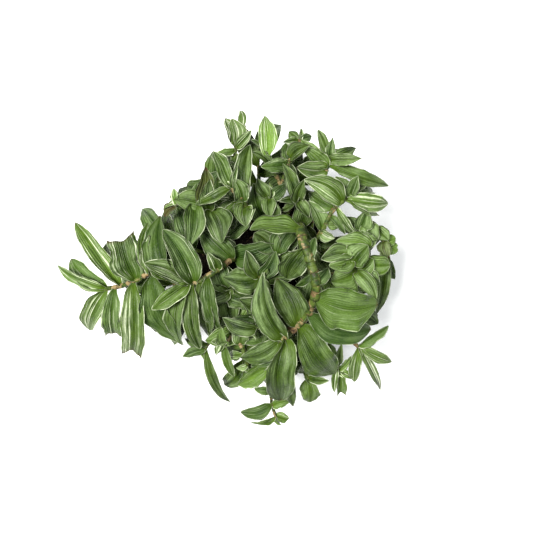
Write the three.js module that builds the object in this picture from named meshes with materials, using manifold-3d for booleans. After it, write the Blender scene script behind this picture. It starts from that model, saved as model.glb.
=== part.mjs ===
// A bushy tradescantia with striped leaves, trailing over the rim of a plain nursery pot.
// Millimetres, Z up. The origin is the middle of the pot's flat bottom.
import * as THREE from "three";
import { mergeVertices } from "three/addons/utils/BufferGeometryUtils.js";
import Module from "manifold-3d";

const wasm = await Module();
wasm.setup();

// ---- Driving dimensions --------------------------------------------------------------------

const POT_HEIGHT = 118;
const POT_RIM_RADIUS = 75;
const POT_BASE_RADIUS = 52;
const POT_WALL = 1.8;
const POT_FLOOR = 2.4;
const POT_SIDES = 36;
const RIM_BAND_HEIGHT = 15;
const RIM_BAND_STEP = 1.6;
const DRAIN_HOLES = 4;
const DRAIN_RADIUS = 5;
const DRAIN_RING_RADIUS = 36;

const SOIL_TOP = 104;
const SOIL_RELIEF = 0.8;
const SOIL_WAVES = [7, 6];
const SOIL_RINGS = 3;
const ROOT_DEPTH = 18;
const ROOT_SWELL = 1.5;
const ROOT_NECK = 1;
const ROOT_HOLE_RISE = 9;
const SEAT_GAP = 0.3;

const THICK_STEM = 1.9;
const THICK_STEM_SIDES = 6;
const THIN_STEM_SIDES = 4;
const STEM_STEP = 13;
const STEM_SPLITS = 6;

// A leaf's fold and roll are in radians, its arch and wave shares of its length and width.
// LEAF_VARIETY is how far each leaf may differ from these, and SIZE_VARIETY from its size.
const LEAF_THICKNESS = 0.7;
const LEAF_CLEARANCE = 0.35;
const LEAF_ARCH = 0.14;
const LEAF_FOLD = 0.3;
const LEAF_ROLL = 0.9;
const LEAF_WAVE = 0.08;
const LEAF_WAVES = 1.5;
const LEAF_VARIETY = 0.4;
const SIZE_VARIETY = 0.2;
const OUTLINE_LEAN = 0.75;
const OUTLINE_FULLNESS = 0.65;
const ARCH_LEAN = 0.8;
const CLASP_SHARE = 0.14;

// Where a blade's margins are set out along it, in leaves up to a width.
const LEAF_STATIONS = [
  { below: 8, at: [0.42] },
  { below: 25, at: [0.26, 0.68] },
  { below: Infinity, at: [0.18, 0.46, 0.78] },
];
const STATION_GAP = 0.05;

// Plan places are where an eye straight above the pot, EYE_HEIGHT over the floor, sees a
// point against the level PLAN_LEVEL. place() moves them along the sight line to their height.
const EYE_HEIGHT = 665;
const PLAN_LEVEL = 130;

// ---- The plant ------------------------------------------------------------------------------

// A shoot has the radius of its stems, the stems as lists of [x, y, z], the first rooted in the
// soil and the others its forks, and leaves, as [x, y of the base, x, y of the tip, z of the
// tip, width, own]. own is what a leaf has of its own: fold, arch, roll, the height of its base,
// or cut, the share of its length that is left where the end is torn off.
const SHOOTS = [
  {
    name: "crown",
    radius: 3.7,
    stems: [
      [
        [38, 40, 104], [38, 41, 140], [38, 41, 168], [39, 37, 179], [42, 25, 184], [48, 10, 186],
        [54, -12, 184], [55, -22, 181], [52, -33, 174], [46, -46, 162], [35, -58, 153],
        [23, -68, 151], [17, -75, 149],
      ],
    ],
    leaves: [
      [56, -30, 118, -37, 170, 36, { fold: 0.12 }],
      [23, -69, 1, -4, 178, 24, { fold: 0.35, arch: 0.14 }],
      [23, -68, 19, -134, 132, 27, { arch: 0.16 }],
      [36, -57, 73, -108, 136, 30, { fold: 0.18 }],
      [48, -45, 110, -62, 142, 27, { arch: 0.14 }],
      [35, -57, 15, -10, 156, 26, {}],
      [20, -72, -22, -90, 138, 18, {}],
      [22, -70, 31, -139, 116, 14, {}],
      [37, 38, -12, 39, 170, 15, { fold: 0.6 }],
      [38, 40, 51, 28, 170, 13, {}],
      [49, 8, 54, 31, 178, 8, {}],
      [43, 20, 25, -11, 168, 23, {}],
      [55, -16, 67, 0, 178, 11, {}],
      [51, -5, 34, -18, 176, 6, {}],
      [20, -70, 0, -58, 160, 8, {}],
    ],
  },
  {
    name: "left_runner",
    radius: 2.1,
    stems: [
      [
        [-26, 9, 104], [-26, 9, 124], [-31, 8, 140], [-42, 0, 150], [-54, -8, 153],
        [-67, -15, 151], [-87, -13, 147], [-110, -5, 141], [-125, -12, 135], [-141, -18, 127],
        [-157, -21, 118],
      ],
    ],
    leaves: [
      [-67, -15, -99, 39, 164, 22, { fold: 0.5 }],
      [-110, -5, -79, -77, 114, 30, { arch: 0.12 }],
      [-127, -13, -130, -89, 100, 23, { cut: 0.86 }],
      [-126, -12, -142, 34, 146, 28, { cut: 0.8 }],
      [-142, -18, -188, 46, 122, 15, { fold: 0.5 }],
      [-157, -21, -175, -63, 94, 19, {}],
      [-157, -20, -192, 9, 114, 16, { cut: 0.9 }],
      [-158, -21, -199, 3, 100, 12, {}],
      [-146, -20, -148, -69, 100, 17, { cut: 0.85 }],
      [-141, -18, -157, 25, 118, 12, {}],
      [-54, -8, -41, -66, 136, 15, { roll: 0.3 }],
      [-62, -13, -52, -79, 130, 17, { roll: 0.3 }],
      [-69, -15, -61, -80, 124, 16, { roll: 0.3 }],
      [-76, -14, -71, -77, 117, 17, { roll: 0.3 }],
      [-72, -15, -118, 5, 162, 17, { arch: 0.14 }],
      [-72, -15, -111, -42, 156, 14, { arch: 0.2 }],
      [-90, -12, -104, 54, 148, 26, {}],
      [-116, -8, -115, 46, 128, 9, {}],
      [-112, -6, -113, 33, 150, 6, {}],
      [-27, 9, 15, 24, 146, 27, { fold: 0.1 }],
      [-29, 9, -63, 40, 146, 22, {}],
      [-44, -1, -54, 16, 162, 12, {}],
      [-156, -21, -178, -23, 112, 3, {}],
    ],
  },
  {
    name: "upper_left",
    radius: 1.9,
    stems: [
      [
        [-12, 44, 104], [-12, 45, 128], [-14, 56, 152], [-18, 67, 163], [-25, 75, 168],
        [-32, 81, 169],
      ],
    ],
    leaves: [
      [-16, 66, -12, 125, 166, 16, {}],
      [-29, 79, -48, 117, 162, 16, {}],
      [-31, 80, -67, 64, 166, 10, { fold: 0.5 }],
      [-19, 68, -28, 90, 178, 14, {}],
      [-15, 62, -16, 42, 172, 18, {}],
      [-18, 67, -33, 40, 160, 15, {}],
      [-31, 80, -24, 102, 168, 5, {}],
      [-12, 50, -38, 28, 142, 14, {}],
    ],
  },
  {
    name: "left_upper",
    radius: 1.9,
    stems: [
      [
        [-36, 40, 104], [-36, 41, 124], [-43, 51, 144], [-56, 62, 155], [-71, 63, 158],
        [-86, 63, 156],
      ],
    ],
    leaves: [
      [-50, 58, -40, 25, 164, 24, {}],
      [-68, 63, -73, 21, 168, 18, {}],
      [-55, 61, -88, 69, 164, 20, {}],
      [-62, 63, -56, 101, 152, 13, {}],
      [-52, 60, -51, 88, 158, 13, {}],
      [-86, 63, -88, 80, 160, 5, {}],
      [-84, 63, -98, 52, 154, 10, {}],
      [-46, 54, -70, 36, 144, 19, {}],
      [-44, 52, -20, 64, 146, 18, {}],
    ],
  },
  {
    name: "top_left",
    radius: 1.6,
    stems: [
      [
        [-24, 52, 104], [-24, 53, 120], [-26, 74, 134], [-27, 98, 141], [-27, 114, 141],
        [-25, 124, 138], [-20, 136, 131],
      ],
    ],
    leaves: [
      [-26, 119, -37, 151, 134, 14, {}],
      [-25, 122, -30, 150, 146, 15, {}],
      [-20, 136, -22, 158, 126, 8, {}],
      [-27, 117, -51, 111, 144, 8, { arch: 0.25 }],
      [-27, 112, -20, 96, 150, 10, {}],
      [-26, 120, -10, 136, 138, 9, {}],
      [-27, 98, -46, 104, 146, 11, {}],
    ],
  },
  {
    name: "top",
    radius: 1.7,
    stems: [
      [
        [13, 55, 104], [13, 56, 122], [17, 71, 138], [22, 90, 148], [26, 104, 151],
        [32, 118, 147], [38, 129, 140],
      ],
      [[20, 80, 144], [13, 96, 152], [5, 112, 156]],
    ],
    leaves: [
      [5, 112, 3, 154, 152, 18, {}],
      [10, 102, -9, 117, 162, 10, {}],
      [25, 102, -1, 102, 162, 14, {}],
      [26, 106, 24, 128, 160, 13, {}],
      [28, 109, 47, 121, 154, 14, {}],
      [37, 127, 21, 126, 146, 6, {}],
      [38, 129, 27, 137, 140, 9, {}],
      [6, 110, -13, 130, 146, 5, {}],
      [38, 129, 50, 132, 134, 8, {}],
    ],
  },
  {
    name: "top_mid",
    radius: 1.7,
    stems: [[[24, 50, 104], [24, 51, 126], [30, 62, 146], [37, 69, 156]]],
    leaves: [
      [35, 67, 21, 105, 166, 13, {}],
      [36, 68, 30, 107, 158, 13, {}],
      [37, 69, 42, 87, 168, 12, {}],
      [37, 69, 48, 51, 160, 12, {}],
      [35, 67, 18, 68, 170, 7, { fold: 0.5 }],
      [34, 66, 19, 59, 160, 6, {}],
    ],
  },
  {
    name: "mid_sprig",
    radius: 1.6,
    stems: [[[2, 49, 104], [2, 50, 128], [6, 64, 148], [8, 72, 153]]],
    leaves: [
      [8, 71, 8, 50, 158, 13, {}],
      [8, 72, 16, 44, 150, 9, {}],
      [8, 71, -5, 90, 154, 13, {}],
      [8, 69, 24, 84, 150, 12, {}],
    ],
  },
  {
    name: "top_right",
    radius: 1.6,
    stems: [
      [
        [50, 25, 104], [50, 26, 116], [50, 42, 130], [52, 66, 141], [61, 90, 148],
        [67, 104, 149], [69, 110, 147],
      ],
    ],
    leaves: [
      [68, 105, 56, 139, 138, 9, {}],
      [69, 109, 70, 129, 152, 10, {}],
      [69, 109, 95, 121, 142, 11, {}],
      [66, 102, 39, 131, 148, 12, {}],
      [65, 100, 42, 122, 158, 13, {}],
      [64, 98, 34, 99, 152, 17, {}],
      [68, 107, 96, 105, 152, 11, {}],
      [66, 101, 129, 83, 138, 14, {}],
    ],
  },
  {
    name: "right_upper",
    radius: 1.8,
    stems: [
      [
        [46, 14, 104], [46, 15, 126], [53, 26, 144], [62, 40, 155], [68, 53, 160],
        [75, 62, 160], [84, 69, 158], [93, 75, 154],
      ],
    ],
    leaves: [
      [84, 69, 127, 65, 144, 16, {}],
      [82, 67, 117, 59, 136, 13, { cut: 0.9 }],
      [80, 66, 43, 90, 166, 20, {}],
      [84, 69, 75, 93, 160, 13, {}],
      [88, 72, 95, 91, 160, 11, {}],
      [92, 74, 107, 88, 154, 10, {}],
      [92, 74, 115, 79, 148, 11, {}],
      [74, 61, 98, 31, 150, 8, {}],
      [68, 53, 84, 34, 158, 7, {}],
      [71, 58, 48, 77, 160, 15, {}],
      [61, 38, 47, 68, 160, 14, {}],
      [59, 36, 73, 30, 158, 11, {}],
      [64, 45, 81, 46, 162, 10, {}],
    ],
  },
  {
    name: "right_mid",
    radius: 1.9,
    stems: [
      [
        [50, -6, 104], [50, -6, 122], [62, -6, 140], [80, -7, 150], [92, -6, 153],
        [101, 2, 153], [106, 12, 151], [107, 22, 148],
      ],
      [[94, -5, 153], [91, 5, 158], [90, 14, 159]],
    ],
    leaves: [
      [92, -6, 69, -13, 166, 24, {}],
      [97, -3, 112, 9, 162, 18, {}],
      [91, 5, 107, 23, 166, 18, {}],
      [102, 3, 129, 3, 146, 15, {}],
      [106, 20, 74, 27, 158, 14, {}],
      [90, 13, 59, 9, 164, 13, {}],
      [91, 7, 66, 2, 156, 14, {}],
      [94, -6, 103, -24, 152, 14, {}],
      [99, -1, 117, -17, 148, 16, {}],
      [96, -5, 110, -31, 140, 12, {}],
      [107, 22, 100, 38, 154, 14, {}],
      [74, -7, 66, -27, 146, 17, {}],
    ],
  },
  {
    name: "far_right",
    radius: 1.5,
    stems: [
      [
        [56, 13, 104], [57, 13, 118], [71, 21, 131], [87, 32, 138], [101, 42, 140],
        [110, 46, 138], [117, 38, 135], [122, 24, 131],
      ],
    ],
    leaves: [
      [104, 44, 113, 24, 148, 15, {}],
      [116, 40, 127, 28, 142, 12, {}],
      [98, 40, 104, 58, 146, 14, {}],
      [121, 27, 134, 30, 132, 11, {}],
      [122, 24, 136, 17, 126, 11, {}],
      [122, 25, 126, 9, 138, 11, {}],
      [122, 24, 118, -49, 118, 11, {}],
      [90, 34, 84, 52, 142, 15, {}],
    ],
  },
  {
    name: "centre",
    radius: 1.8,
    stems: [[[-2, -10, 104], [-2, -10, 130], [-2, -9, 146], [0, -8, 151]]],
    leaves: [
      [-2, -9, -39, -9, 148, 23, {}],
      [-1, -8, 14, 17, 154, 15, {}],
      [-2, -9, 12, -38, 142, 17, {}],
      [-2, -9, -16, 18, 152, 14, {}],
    ],
  },
  {
    name: "heart",
    radius: 1.6,
    stems: [[[14, 14, 104], [14, 14, 122], [15, 13, 140]]],
    leaves: [
      [15, 13, -8, 36, 138, 22, {}],
      [15, 13, 34, 44, 136, 20, {}],
      [15, 13, 40, -8, 140, 22, {}],
      [15, 13, 16, -26, 136, 22, {}],
      [15, 13, -20, -2, 130, 20, {}],
    ],
  },
  {
    name: "heart_left",
    radius: 1.6,
    stems: [[[-34, -20, 104], [-34, -20, 118], [-33, -22, 130]]],
    leaves: [
      [-33, -22, -4, -34, 136, 22, {}],
      [-33, -22, -24, -56, 130, 20, {}],
      [-33, -22, -66, -40, 124, 20, {}],
      [-33, -22, -50, 10, 130, 20, {}],
      [-33, -22, -10, 4, 128, 22, {}],
    ],
  },
  {
    name: "centre_front",
    radius: 1.7,
    stems: [[[3, -38, 104], [3, -38, 126], [1, -44, 141], [-2, -54, 146], [-5, -62, 147]]],
    leaves: [
      [0, -48, -30, -50, 152, 14, {}],
      [-4, -59, -39, -49, 144, 15, {}],
      [-4, -60, -2, -43, 156, 6, {}],
      [2, -40, -22, -30, 136, 15, {}],
    ],
  },
  {
    name: "front_left",
    radius: 1.6,
    stems: [
      [[-20, -50, 104], [-20, -51, 118], [-26, -62, 131], [-33, -71, 138], [-39, -76, 137]],
      [[-28, -65, 134], [-22, -76, 140], [-17, -88, 139], [-14, -99, 133]],
    ],
    leaves: [
      [-34, -72, -51, -74, 144, 8, {}],
      [-38, -76, -28, -109, 120, 9, {}],
      [-22, -76, -20, -56, 152, 15, {}],
      [-18, -87, -37, -90, 138, 9, {}],
      [-39, -76, -47, -86, 134, 7, {}],
      [-15, -97, -26, -100, 136, 6, {}],
      [-36, -74, -40, -58, 148, 10, {}],
    ],
  },
  {
    name: "left_front",
    radius: 1.5,
    stems: [[[-38, -42, 104], [-38, -43, 113], [-44, -56, 122], [-51, -70, 125], [-57, -82, 122]]],
    leaves: [
      [-57, -82, -32, -135, 94, 10, { arch: 0.18 }],
      [-56, -80, -80, -89, 124, 9, {}],
      [-54, -77, -78, -71, 118, 9, {}],
    ],
  },
  {
    name: "front_trail",
    radius: 1.5,
    stems: [
      [
        [6, -56, 104], [6, -57, 118], [6, -70, 127], [6, -86, 130], [7, -100, 129],
        [8, -120, 122], [10, -137, 113], [14, -150, 105],
      ],
    ],
    leaves: [
      [6, -98, -25, -118, 122, 15, {}],
      [8, -122, -8, -121, 126, 7, {}],
      [10, -137, -22, -145, 108, 11, {}],
      [13, -148, -12, -156, 98, 7, {}],
      [10, -137, 28, -133, 118, 8, {}],
      [13, -147, 27, -151, 102, 8, {}],
      [7, -104, 20, -120, 120, 10, {}],
      [6, -84, -10, -104, 128, 12, {}],
    ],
  },
  {
    name: "front_right",
    radius: 1.5,
    stems: [
      [
        [26, -50, 104], [26, -51, 116], [31, -66, 124], [36, -86, 127], [41, -100, 125],
        [47, -112, 119],
      ],
    ],
    leaves: [
      [47, -112, 48, -135, 112, 18, {}],
      [42, -102, 54, -122, 114, 8, {}],
      [41, -100, 48, -90, 132, 9, {}],
      [46, -110, 66, -111, 120, 8, {}],
      [38, -92, 20, -100, 124, 12, {}],
    ],
  },
  {
    name: "right_bottom",
    radius: 1.5,
    stems: [
      [
        [42, -38, 104], [42, -39, 115], [54, -60, 124], [64, -80, 126], [72, -94, 122],
        [78, -103, 117],
      ],
    ],
    leaves: [
      [78, -103, 78, -127, 104, 10, { cut: 0.85 }],
      [75, -99, 72, -124, 112, 6, {}],
      [74, -97, 80, -76, 130, 7, {}],
      [77, -102, 90, -88, 126, 8, {}],
      [70, -92, 66, -74, 134, 9, {}],
      [78, -103, 93, -110, 114, 7, {}],
    ],
  },
  {
    name: "right_low",
    radius: 1.6,
    stems: [
      [
        [49, -27, 104], [50, -29, 116], [66, -43, 129], [82, -62, 134], [90, -73, 133],
        [98, -80, 129],
      ],
    ],
    leaves: [
      [96, -78, 127, -58, 126, 10, {}],
      [98, -80, 130, -94, 120, 11, {}],
      [98, -80, 92, -114, 110, 11, {}],
      [97, -79, 118, -122, 102, 9, {}],
      [86, -68, 100, -52, 140, 11, {}],
    ],
  },
];

// Low shoots that hang over the rim between the others: one at each of these bearings, in
// degrees, reaching so far past the rim, with leaves of this length.
const RIM_SHOOTS = [
  [5, 22, 40], [284, 14, 36], [68, 28, 44], [92, 32, 46], [122, 12, 35], [142, 7, 33],
  [165, 20, 40], [190, 26, 44], [212, 14, 36], [259, 14, 36], [343, 18, 40],
];
const RIM_STEM_RADIUS = 1.4;

// The points of a rim shoot's stem: the distance from the pot's axis, the share of the shoot's
// reach that is added to it, and the height.
const RIM_ROUTE = [
  [56, 0, 104], [57, 0, 113], [66, 0, 125], [80, 0, 130], [80, 0.6, 124], [80, 1, 110],
];

// Its leaves start RIM_LEAF_START from the axis and end RIM_LEAF_RUN further out than the reach.
// They swing to the left and right in turn, less towards the end of the stem, where they hang.
const RIM_LEAVES = 5;
const RIM_LEAF_START = 71;
const RIM_LEAF_RUN = 9;
const RIM_LEAF_WIDTH = 19;
const RIM_SWING = 0.95;
const RIM_SWING_LOSS = 0.5;
const RIM_SWING_SPREAD = 0.3;
const RIM_TIP_HEIGHT = 126;
const RIM_TIP_FALL = 22;
const RIM_TIP_SPREAD = 10;

// Leaves low on the rooted part of each stem: at these heights over the soil, turning by the
// golden angle from one to the next from LOWER_START on, with tips that rise by LOWER_RISE at most.
const LOWER_HEIGHTS = [15, 28];
const LOWER_LENGTH = 42;
const LOWER_WIDTH = 20;
const LOWER_RISE = 10;
const GOLDEN_ANGLE = 2.39996;
const LOWER_START = -0.9;

// How a leaf may be bent clear of its neighbours: its tip raised, turned aside or drawn in, and
// how much of each counts as one unit of strain.
const LIFTS = [0, 5, -5, 10, -10, 16, -16, 24];
const TURNS = [0, 0.13, -0.13, 0.26, -0.26];
const LENGTHS = [1, 0.86, 0.72];
const LIFT_UNIT = 10;
const TURN_UNIT = 0.13;
const LENGTH_UNIT = 0.12;

const leafGreen = new THREE.MeshStandardMaterial({ color: 0x5f8a45, roughness: 0.55, metalness: 0 });
const potGrey = new THREE.MeshStandardMaterial({ color: 0x3a3d3a, roughness: 0.6, metalness: 0 });
const soilBrown = new THREE.MeshStandardMaterial({ color: 0x2e241c, roughness: 0.95, metalness: 0 });

// ---- Small helpers --------------------------------------------------------------------------

const UP = new THREE.Vector3(0, 0, 1);

// A number from 0 to 1 that looks random and is the same for the same seed.
function scatter(seed) {
  const s = Math.sin(seed * 12.9898) * 43758.5453;
  return s - Math.floor(s);
}

// The value made smaller or greater by up to a share of it.
function vary(value, share, seed) {
  return value * (1 - share + 2 * share * scatter(seed));
}

function place(x, y, z) {
  const scale = (EYE_HEIGHT - z) / (EYE_HEIGHT - PLAN_LEVEL);
  return new THREE.Vector3(x * scale, y * scale, z);
}

function toSolid(geometry) {
  geometry.deleteAttribute("normal");
  geometry.deleteAttribute("uv");
  const merged = mergeVertices(geometry, 1e-4);
  const vertProperties = merged.attributes.position.array;
  const triVerts = new Uint32Array(merged.index.array);
  return new wasm.Manifold(new wasm.Mesh({ numProp: 3, vertProperties, triVerts }));
}

function toGeometry(solid) {
  const mesh = solid.getMesh();
  const geometry = new THREE.BufferGeometry();
  geometry.setAttribute("position", new THREE.Float32BufferAttribute(mesh.vertProperties, 3));
  geometry.setIndex(Array.from(mesh.triVerts));
  const flat = geometry.toNonIndexed();
  flat.computeVertexNormals();
  return flat;
}

function uprightCylinder(radius, bottom, top, x, y, sides) {
  const geometry = new THREE.CylinderGeometry(radius, radius, top - bottom, sides);
  geometry.rotateX(Math.PI / 2);
  geometry.translate(x, y, (top + bottom) / 2);
  return toSolid(geometry);
}

// ---- Pot and soil ---------------------------------------------------------------------------

function wallRadius(z) {
  return THREE.MathUtils.mapLinear(z, 0, POT_HEIGHT, POT_BASE_RADIUS, POT_RIM_RADIUS - RIM_BAND_STEP);
}

function makePot() {
  const bandBottom = POT_HEIGHT - RIM_BAND_HEIGHT;
  const profile = [
    [0, 0],
    [POT_BASE_RADIUS, 0],
    [wallRadius(bandBottom), bandBottom],
    [wallRadius(bandBottom) + RIM_BAND_STEP, bandBottom + RIM_BAND_STEP],
    [POT_RIM_RADIUS, POT_HEIGHT],
    [POT_RIM_RADIUS - POT_WALL - RIM_BAND_STEP, POT_HEIGHT],
    [wallRadius(POT_FLOOR) - POT_WALL, POT_FLOOR],
    [0, POT_FLOOR],
  ].map(([r, z]) => new THREE.Vector2(r, z));
  const geometry = new THREE.LatheGeometry(profile, POT_SIDES);
  geometry.rotateX(Math.PI / 2);
  let pot = toSolid(geometry);
  for (let i = 0; i < DRAIN_HOLES; i++) {
    const angle = (i * 2 * Math.PI) / DRAIN_HOLES;
    const x = DRAIN_RING_RADIUS * Math.cos(angle);
    const y = DRAIN_RING_RADIUS * Math.sin(angle);
    pot = pot.subtract(uprightCylinder(DRAIN_RADIUS, -1, POT_FLOOR + 1, x, y, 8));
  }
  return pot;
}

function makeSoil(holes) {
  const bottom = POT_FLOOR + SEAT_GAP;
  const inside = (z) => wallRadius(z) - POT_WALL - SEAT_GAP;
  const profile = [new THREE.Vector2(0, bottom), new THREE.Vector2(inside(bottom), bottom)];
  for (let i = SOIL_RINGS; i >= 0; i--) {
    profile.push(new THREE.Vector2((inside(SOIL_TOP) * i) / SOIL_RINGS, SOIL_TOP));
  }
  const geometry = new THREE.LatheGeometry(profile, POT_SIDES / 2);
  geometry.rotateX(Math.PI / 2);
  const position = geometry.attributes.position;
  for (let i = 0; i < position.count; i++) {
    const x = position.getX(i);
    const y = position.getY(i);
    if (position.getZ(i) > SOIL_TOP - 1 && Math.hypot(x, y) < inside(SOIL_TOP) - 1) {
      const wave = Math.sin(x / SOIL_WAVES[0]) * Math.cos(y / SOIL_WAVES[1]);
      position.setZ(i, SOIL_TOP + SOIL_RELIEF * wave);
    }
  }
  return holes.reduce((soil, hole) => soil.subtract(hole), toSolid(geometry));
}

// ---- Stems and leaves -----------------------------------------------------------------------

function sidesOf(radius) {
  return radius < THICK_STEM ? THIN_STEM_SIDES : THICK_STEM_SIDES;
}

// A stem's curve with its spine, the straight steps between the rings of its tube.
function makeStem(route) {
  const placed = route.map(([x, y, z]) => place(x, y, z));
  const curve = new THREE.CatmullRomCurve3(placed, false, "catmullrom", 0.5);
  const steps = Math.max(3, Math.round(curve.getLength() / STEM_STEP));
  return { curve, steps, spine: curve.getSpacedPoints(steps) };
}

function stemSolid({ curve, steps }, radius) {
  const ring = [];
  const sides = sidesOf(radius);
  for (let i = 0; i < sides; i++) {
    const angle = (i * 2 * Math.PI) / sides;
    ring.push(new THREE.Vector2(radius * Math.cos(angle), radius * Math.sin(angle)));
  }
  const options = { steps, bevelEnabled: false, extrudePath: curve };
  return toSolid(new THREE.ExtrudeGeometry(new THREE.Shape(ring), options));
}

// The point in the middle of a stem that is seen nearest to a plan place, at a height if given.
function nearestOn(stems, x, y, z) {
  let best = null;
  for (const { spine } of stems) {
    for (let i = 0; i < (spine.length - 1) * STEM_SPLITS; i++) {
      const [from, share] = [Math.floor(i / STEM_SPLITS), (i % STEM_SPLITS) / STEM_SPLITS];
      const point = spine[from].clone().lerp(spine[from + 1], share);
      const scale = (EYE_HEIGHT - point.z) / (EYE_HEIGHT - PLAN_LEVEL);
      const rise = z === undefined ? 0 : point.z - z;
      const away = Math.hypot(point.x / scale - x, point.y / scale - y, rise);
      if (!best || away < best.away) best = { away, point };
    }
  }
  return best.point;
}

// The first stem is rooted, and each fork starts in the middle of it.
function makeStems(routes) {
  const main = makeStem(routes[0]);
  const forks = routes.slice(1).map((route) => {
    const fork = makeStem(route);
    fork.curve.points[0].copy(nearestOn([main], ...route[0]));
    fork.curve.updateArcLengths();
    fork.spine = fork.curve.getSpacedPoints(fork.steps);
    return fork;
  });
  return [main, ...forks];
}

// Half the width of a leaf at t along it, as a share of its greatest half width: broad soon
// after the base, which clasps the stem, and drawn out to a fine tip.
function outline(t) {
  return Math.sin(Math.PI * t ** OUTLINE_LEAN) ** OUTLINE_FULLNESS;
}

// The points across a bent leaf at t: left margin, midrib and right margin, and its normal.
function acrossLeaf(leaf, bend, t) {
  const reach = leaf.tip.clone().sub(leaf.base).applyAxisAngle(UP, bend.turn);
  reach.multiplyScalar(bend.length);
  reach.z += bend.lift;
  const length = reach.length();
  const along = reach.clone().normalize();
  const side = UP.clone().cross(along).normalize();
  const rise = along.clone().cross(side);
  const normal = rise.clone().applyAxisAngle(along, leaf.roll);
  side.applyAxisAngle(along, leaf.roll);
  const s = t ** ARCH_LEAN;
  const mid = leaf.base.clone().addScaledVector(reach, t);
  mid.addScaledVector(rise, leaf.arch * length * 4 * s * (1 - s));
  const half = (leaf.width / 2) * outline(t * leaf.cut) * Math.sqrt(bend.length);
  const margin = (sign) => {
    const wave = leaf.wave * Math.sin(2 * Math.PI * LEAF_WAVES * t + leaf.phase + sign);
    const point = mid.clone().addScaledVector(side, sign * half);
    return point.addScaledVector(normal, half * (Math.tan(leaf.fold) + wave));
  };
  return { left: margin(1), mid, right: margin(-1), normal };
}

// A leaf as a closed blade from start to its end. Both faces are split into the same triangles.
function leafSolid(leaf, bend, start = 0, extra = 0) {
  const inner = LEAF_STATIONS.find(({ below }) => leaf.width < below).at;
  const stations = [start, ...inner.filter((t) => t > start + STATION_GAP), 1];
  const half = LEAF_THICKNESS / 2 / Math.cos(leaf.fold) + extra;
  const positions = [];
  const rings = stations.map((t) => {
    const { left, mid, right, normal } = acrossLeaf(leaf, bend, t);
    const first = positions.length / 3;
    if (t === 0) {
      positions.push(...mid);
      return Array(6).fill(first);
    }
    const isTip = t === 1 && leaf.cut === 1;
    const row = isTip ? [mid] : [left, mid, right];
    for (const p of row) positions.push(...p.clone().addScaledVector(normal, half));
    for (const p of [...row].reverse()) positions.push(...p.clone().addScaledVector(normal, -half));
    return (isTip ? [0, 0, 0, 1, 1, 1] : [0, 1, 2, 3, 4, 5]).map((k) => first + k);
  });
  const faces = [];
  const face = (a, b, c) => {
    if (a !== b && b !== c && c !== a) faces.push(a, b, c);
  };
  for (let i = 0; i + 1 < rings.length; i++) {
    for (let k = 0; k < 6; k++) {
      const [a, b] = [rings[i][k], rings[i][(k + 1) % 6]];
      const [c, d] = [rings[i + 1][k], rings[i + 1][(k + 1) % 6]];
      const slant = k < 3 ? [[a, b, d], [a, d, c]] : [[a, b, c], [b, d, c]];
      for (const corners of slant) face(...corners);
    }
  }
  for (const [ring, flip] of [[rings[0], true], [rings.at(-1), false]]) {
    const [tl, tm, tr, br, bm, bl] = ring;
    if (tl === tm) continue;
    for (const [a, b, c] of [[tl, tm, bm], [tl, bm, bl], [tm, tr, br], [tm, br, bm]]) {
      if (flip) face(a, c, b);
      else face(a, b, c);
    }
  }
  const geometry = new THREE.BufferGeometry();
  geometry.setAttribute("position", new THREE.Float32BufferAttribute(positions, 3));
  geometry.setIndex(faces);
  return toSolid(geometry);
}

// ---- Growing the shoots without crossings ---------------------------------------------------

function boxed(solid, owner) {
  const { min, max } = solid.boundingBox();
  return { solid, owner, min, max };
}

function boxesMeet(a, b) {
  return [0, 1, 2].every((k) => a.min[k] < b.max[k] && b.min[k] < a.max[k]);
}

function meets(a, b) {
  return sharedVolume(a, b) > 0;
}

function sharedVolume(a, b) {
  if (!boxesMeet(a, b)) return 0;
  const common = a.solid.intersect(b.solid);
  const volume = common.volume();
  common.delete();
  return volume;
}

// Every bend that a leaf may take, the gentlest first.
const BENDS = [];
for (const length of LENGTHS) {
  for (const turn of TURNS) {
    for (const lift of LIFTS) {
      const aside = Math.abs(lift) / LIFT_UNIT + Math.abs(turn) / TURN_UNIT;
      const strain = aside + (1 - length) / LENGTH_UNIT;
      BENDS.push({ lift, turn, length, strain });
    }
  }
}
BENDS.sort((a, b) => a.strain - b.strain);

function makeLeaf(stems, row, seed) {
  const [x, y, tipX, tipY, tipZ, width, own] = row;
  return {
    base: nearestOn(stems, x, y, own.height),
    tip: place(tipX, tipY, tipZ),
    width,
    fold: own.fold ?? vary(LEAF_FOLD, LEAF_VARIETY, seed + 0.1),
    arch: own.arch ?? vary(LEAF_ARCH, LEAF_VARIETY, seed + 0.2),
    roll: own.roll ?? LEAF_ROLL * (scatter(seed + 0.3) - 0.5),
    wave: vary(LEAF_WAVE, LEAF_VARIETY, seed + 0.4),
    phase: 2 * Math.PI * scatter(seed + 0.5),
    cut: own.cut ?? 1,
  };
}

// The first bend that keeps the leaf clear of the other shoots and of its own leaves. Where
// there is none, the one that crosses its own leaves least, because those are fused anyway.
function settle(leaf, owner, taken, ownLeaves) {
  let best = null;
  for (const bend of BENDS) {
    const wide = boxed(leafSolid(leaf, bend, 0, LEAF_CLEARANCE));
    const blocked = taken.some((other) => other.owner !== owner && meets(wide, other));
    wide.solid.delete();
    if (blocked) continue;
    const blade = boxed(leafSolid(leaf, bend, CLASP_SHARE));
    const crossed = ownLeaves.reduce((sum, other) => sum + sharedVolume(blade, other), 0);
    if (!best || crossed < best.crossed) best = { bend, blade, crossed };
    if (crossed === 0) break;
  }
  return best;
}

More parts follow.
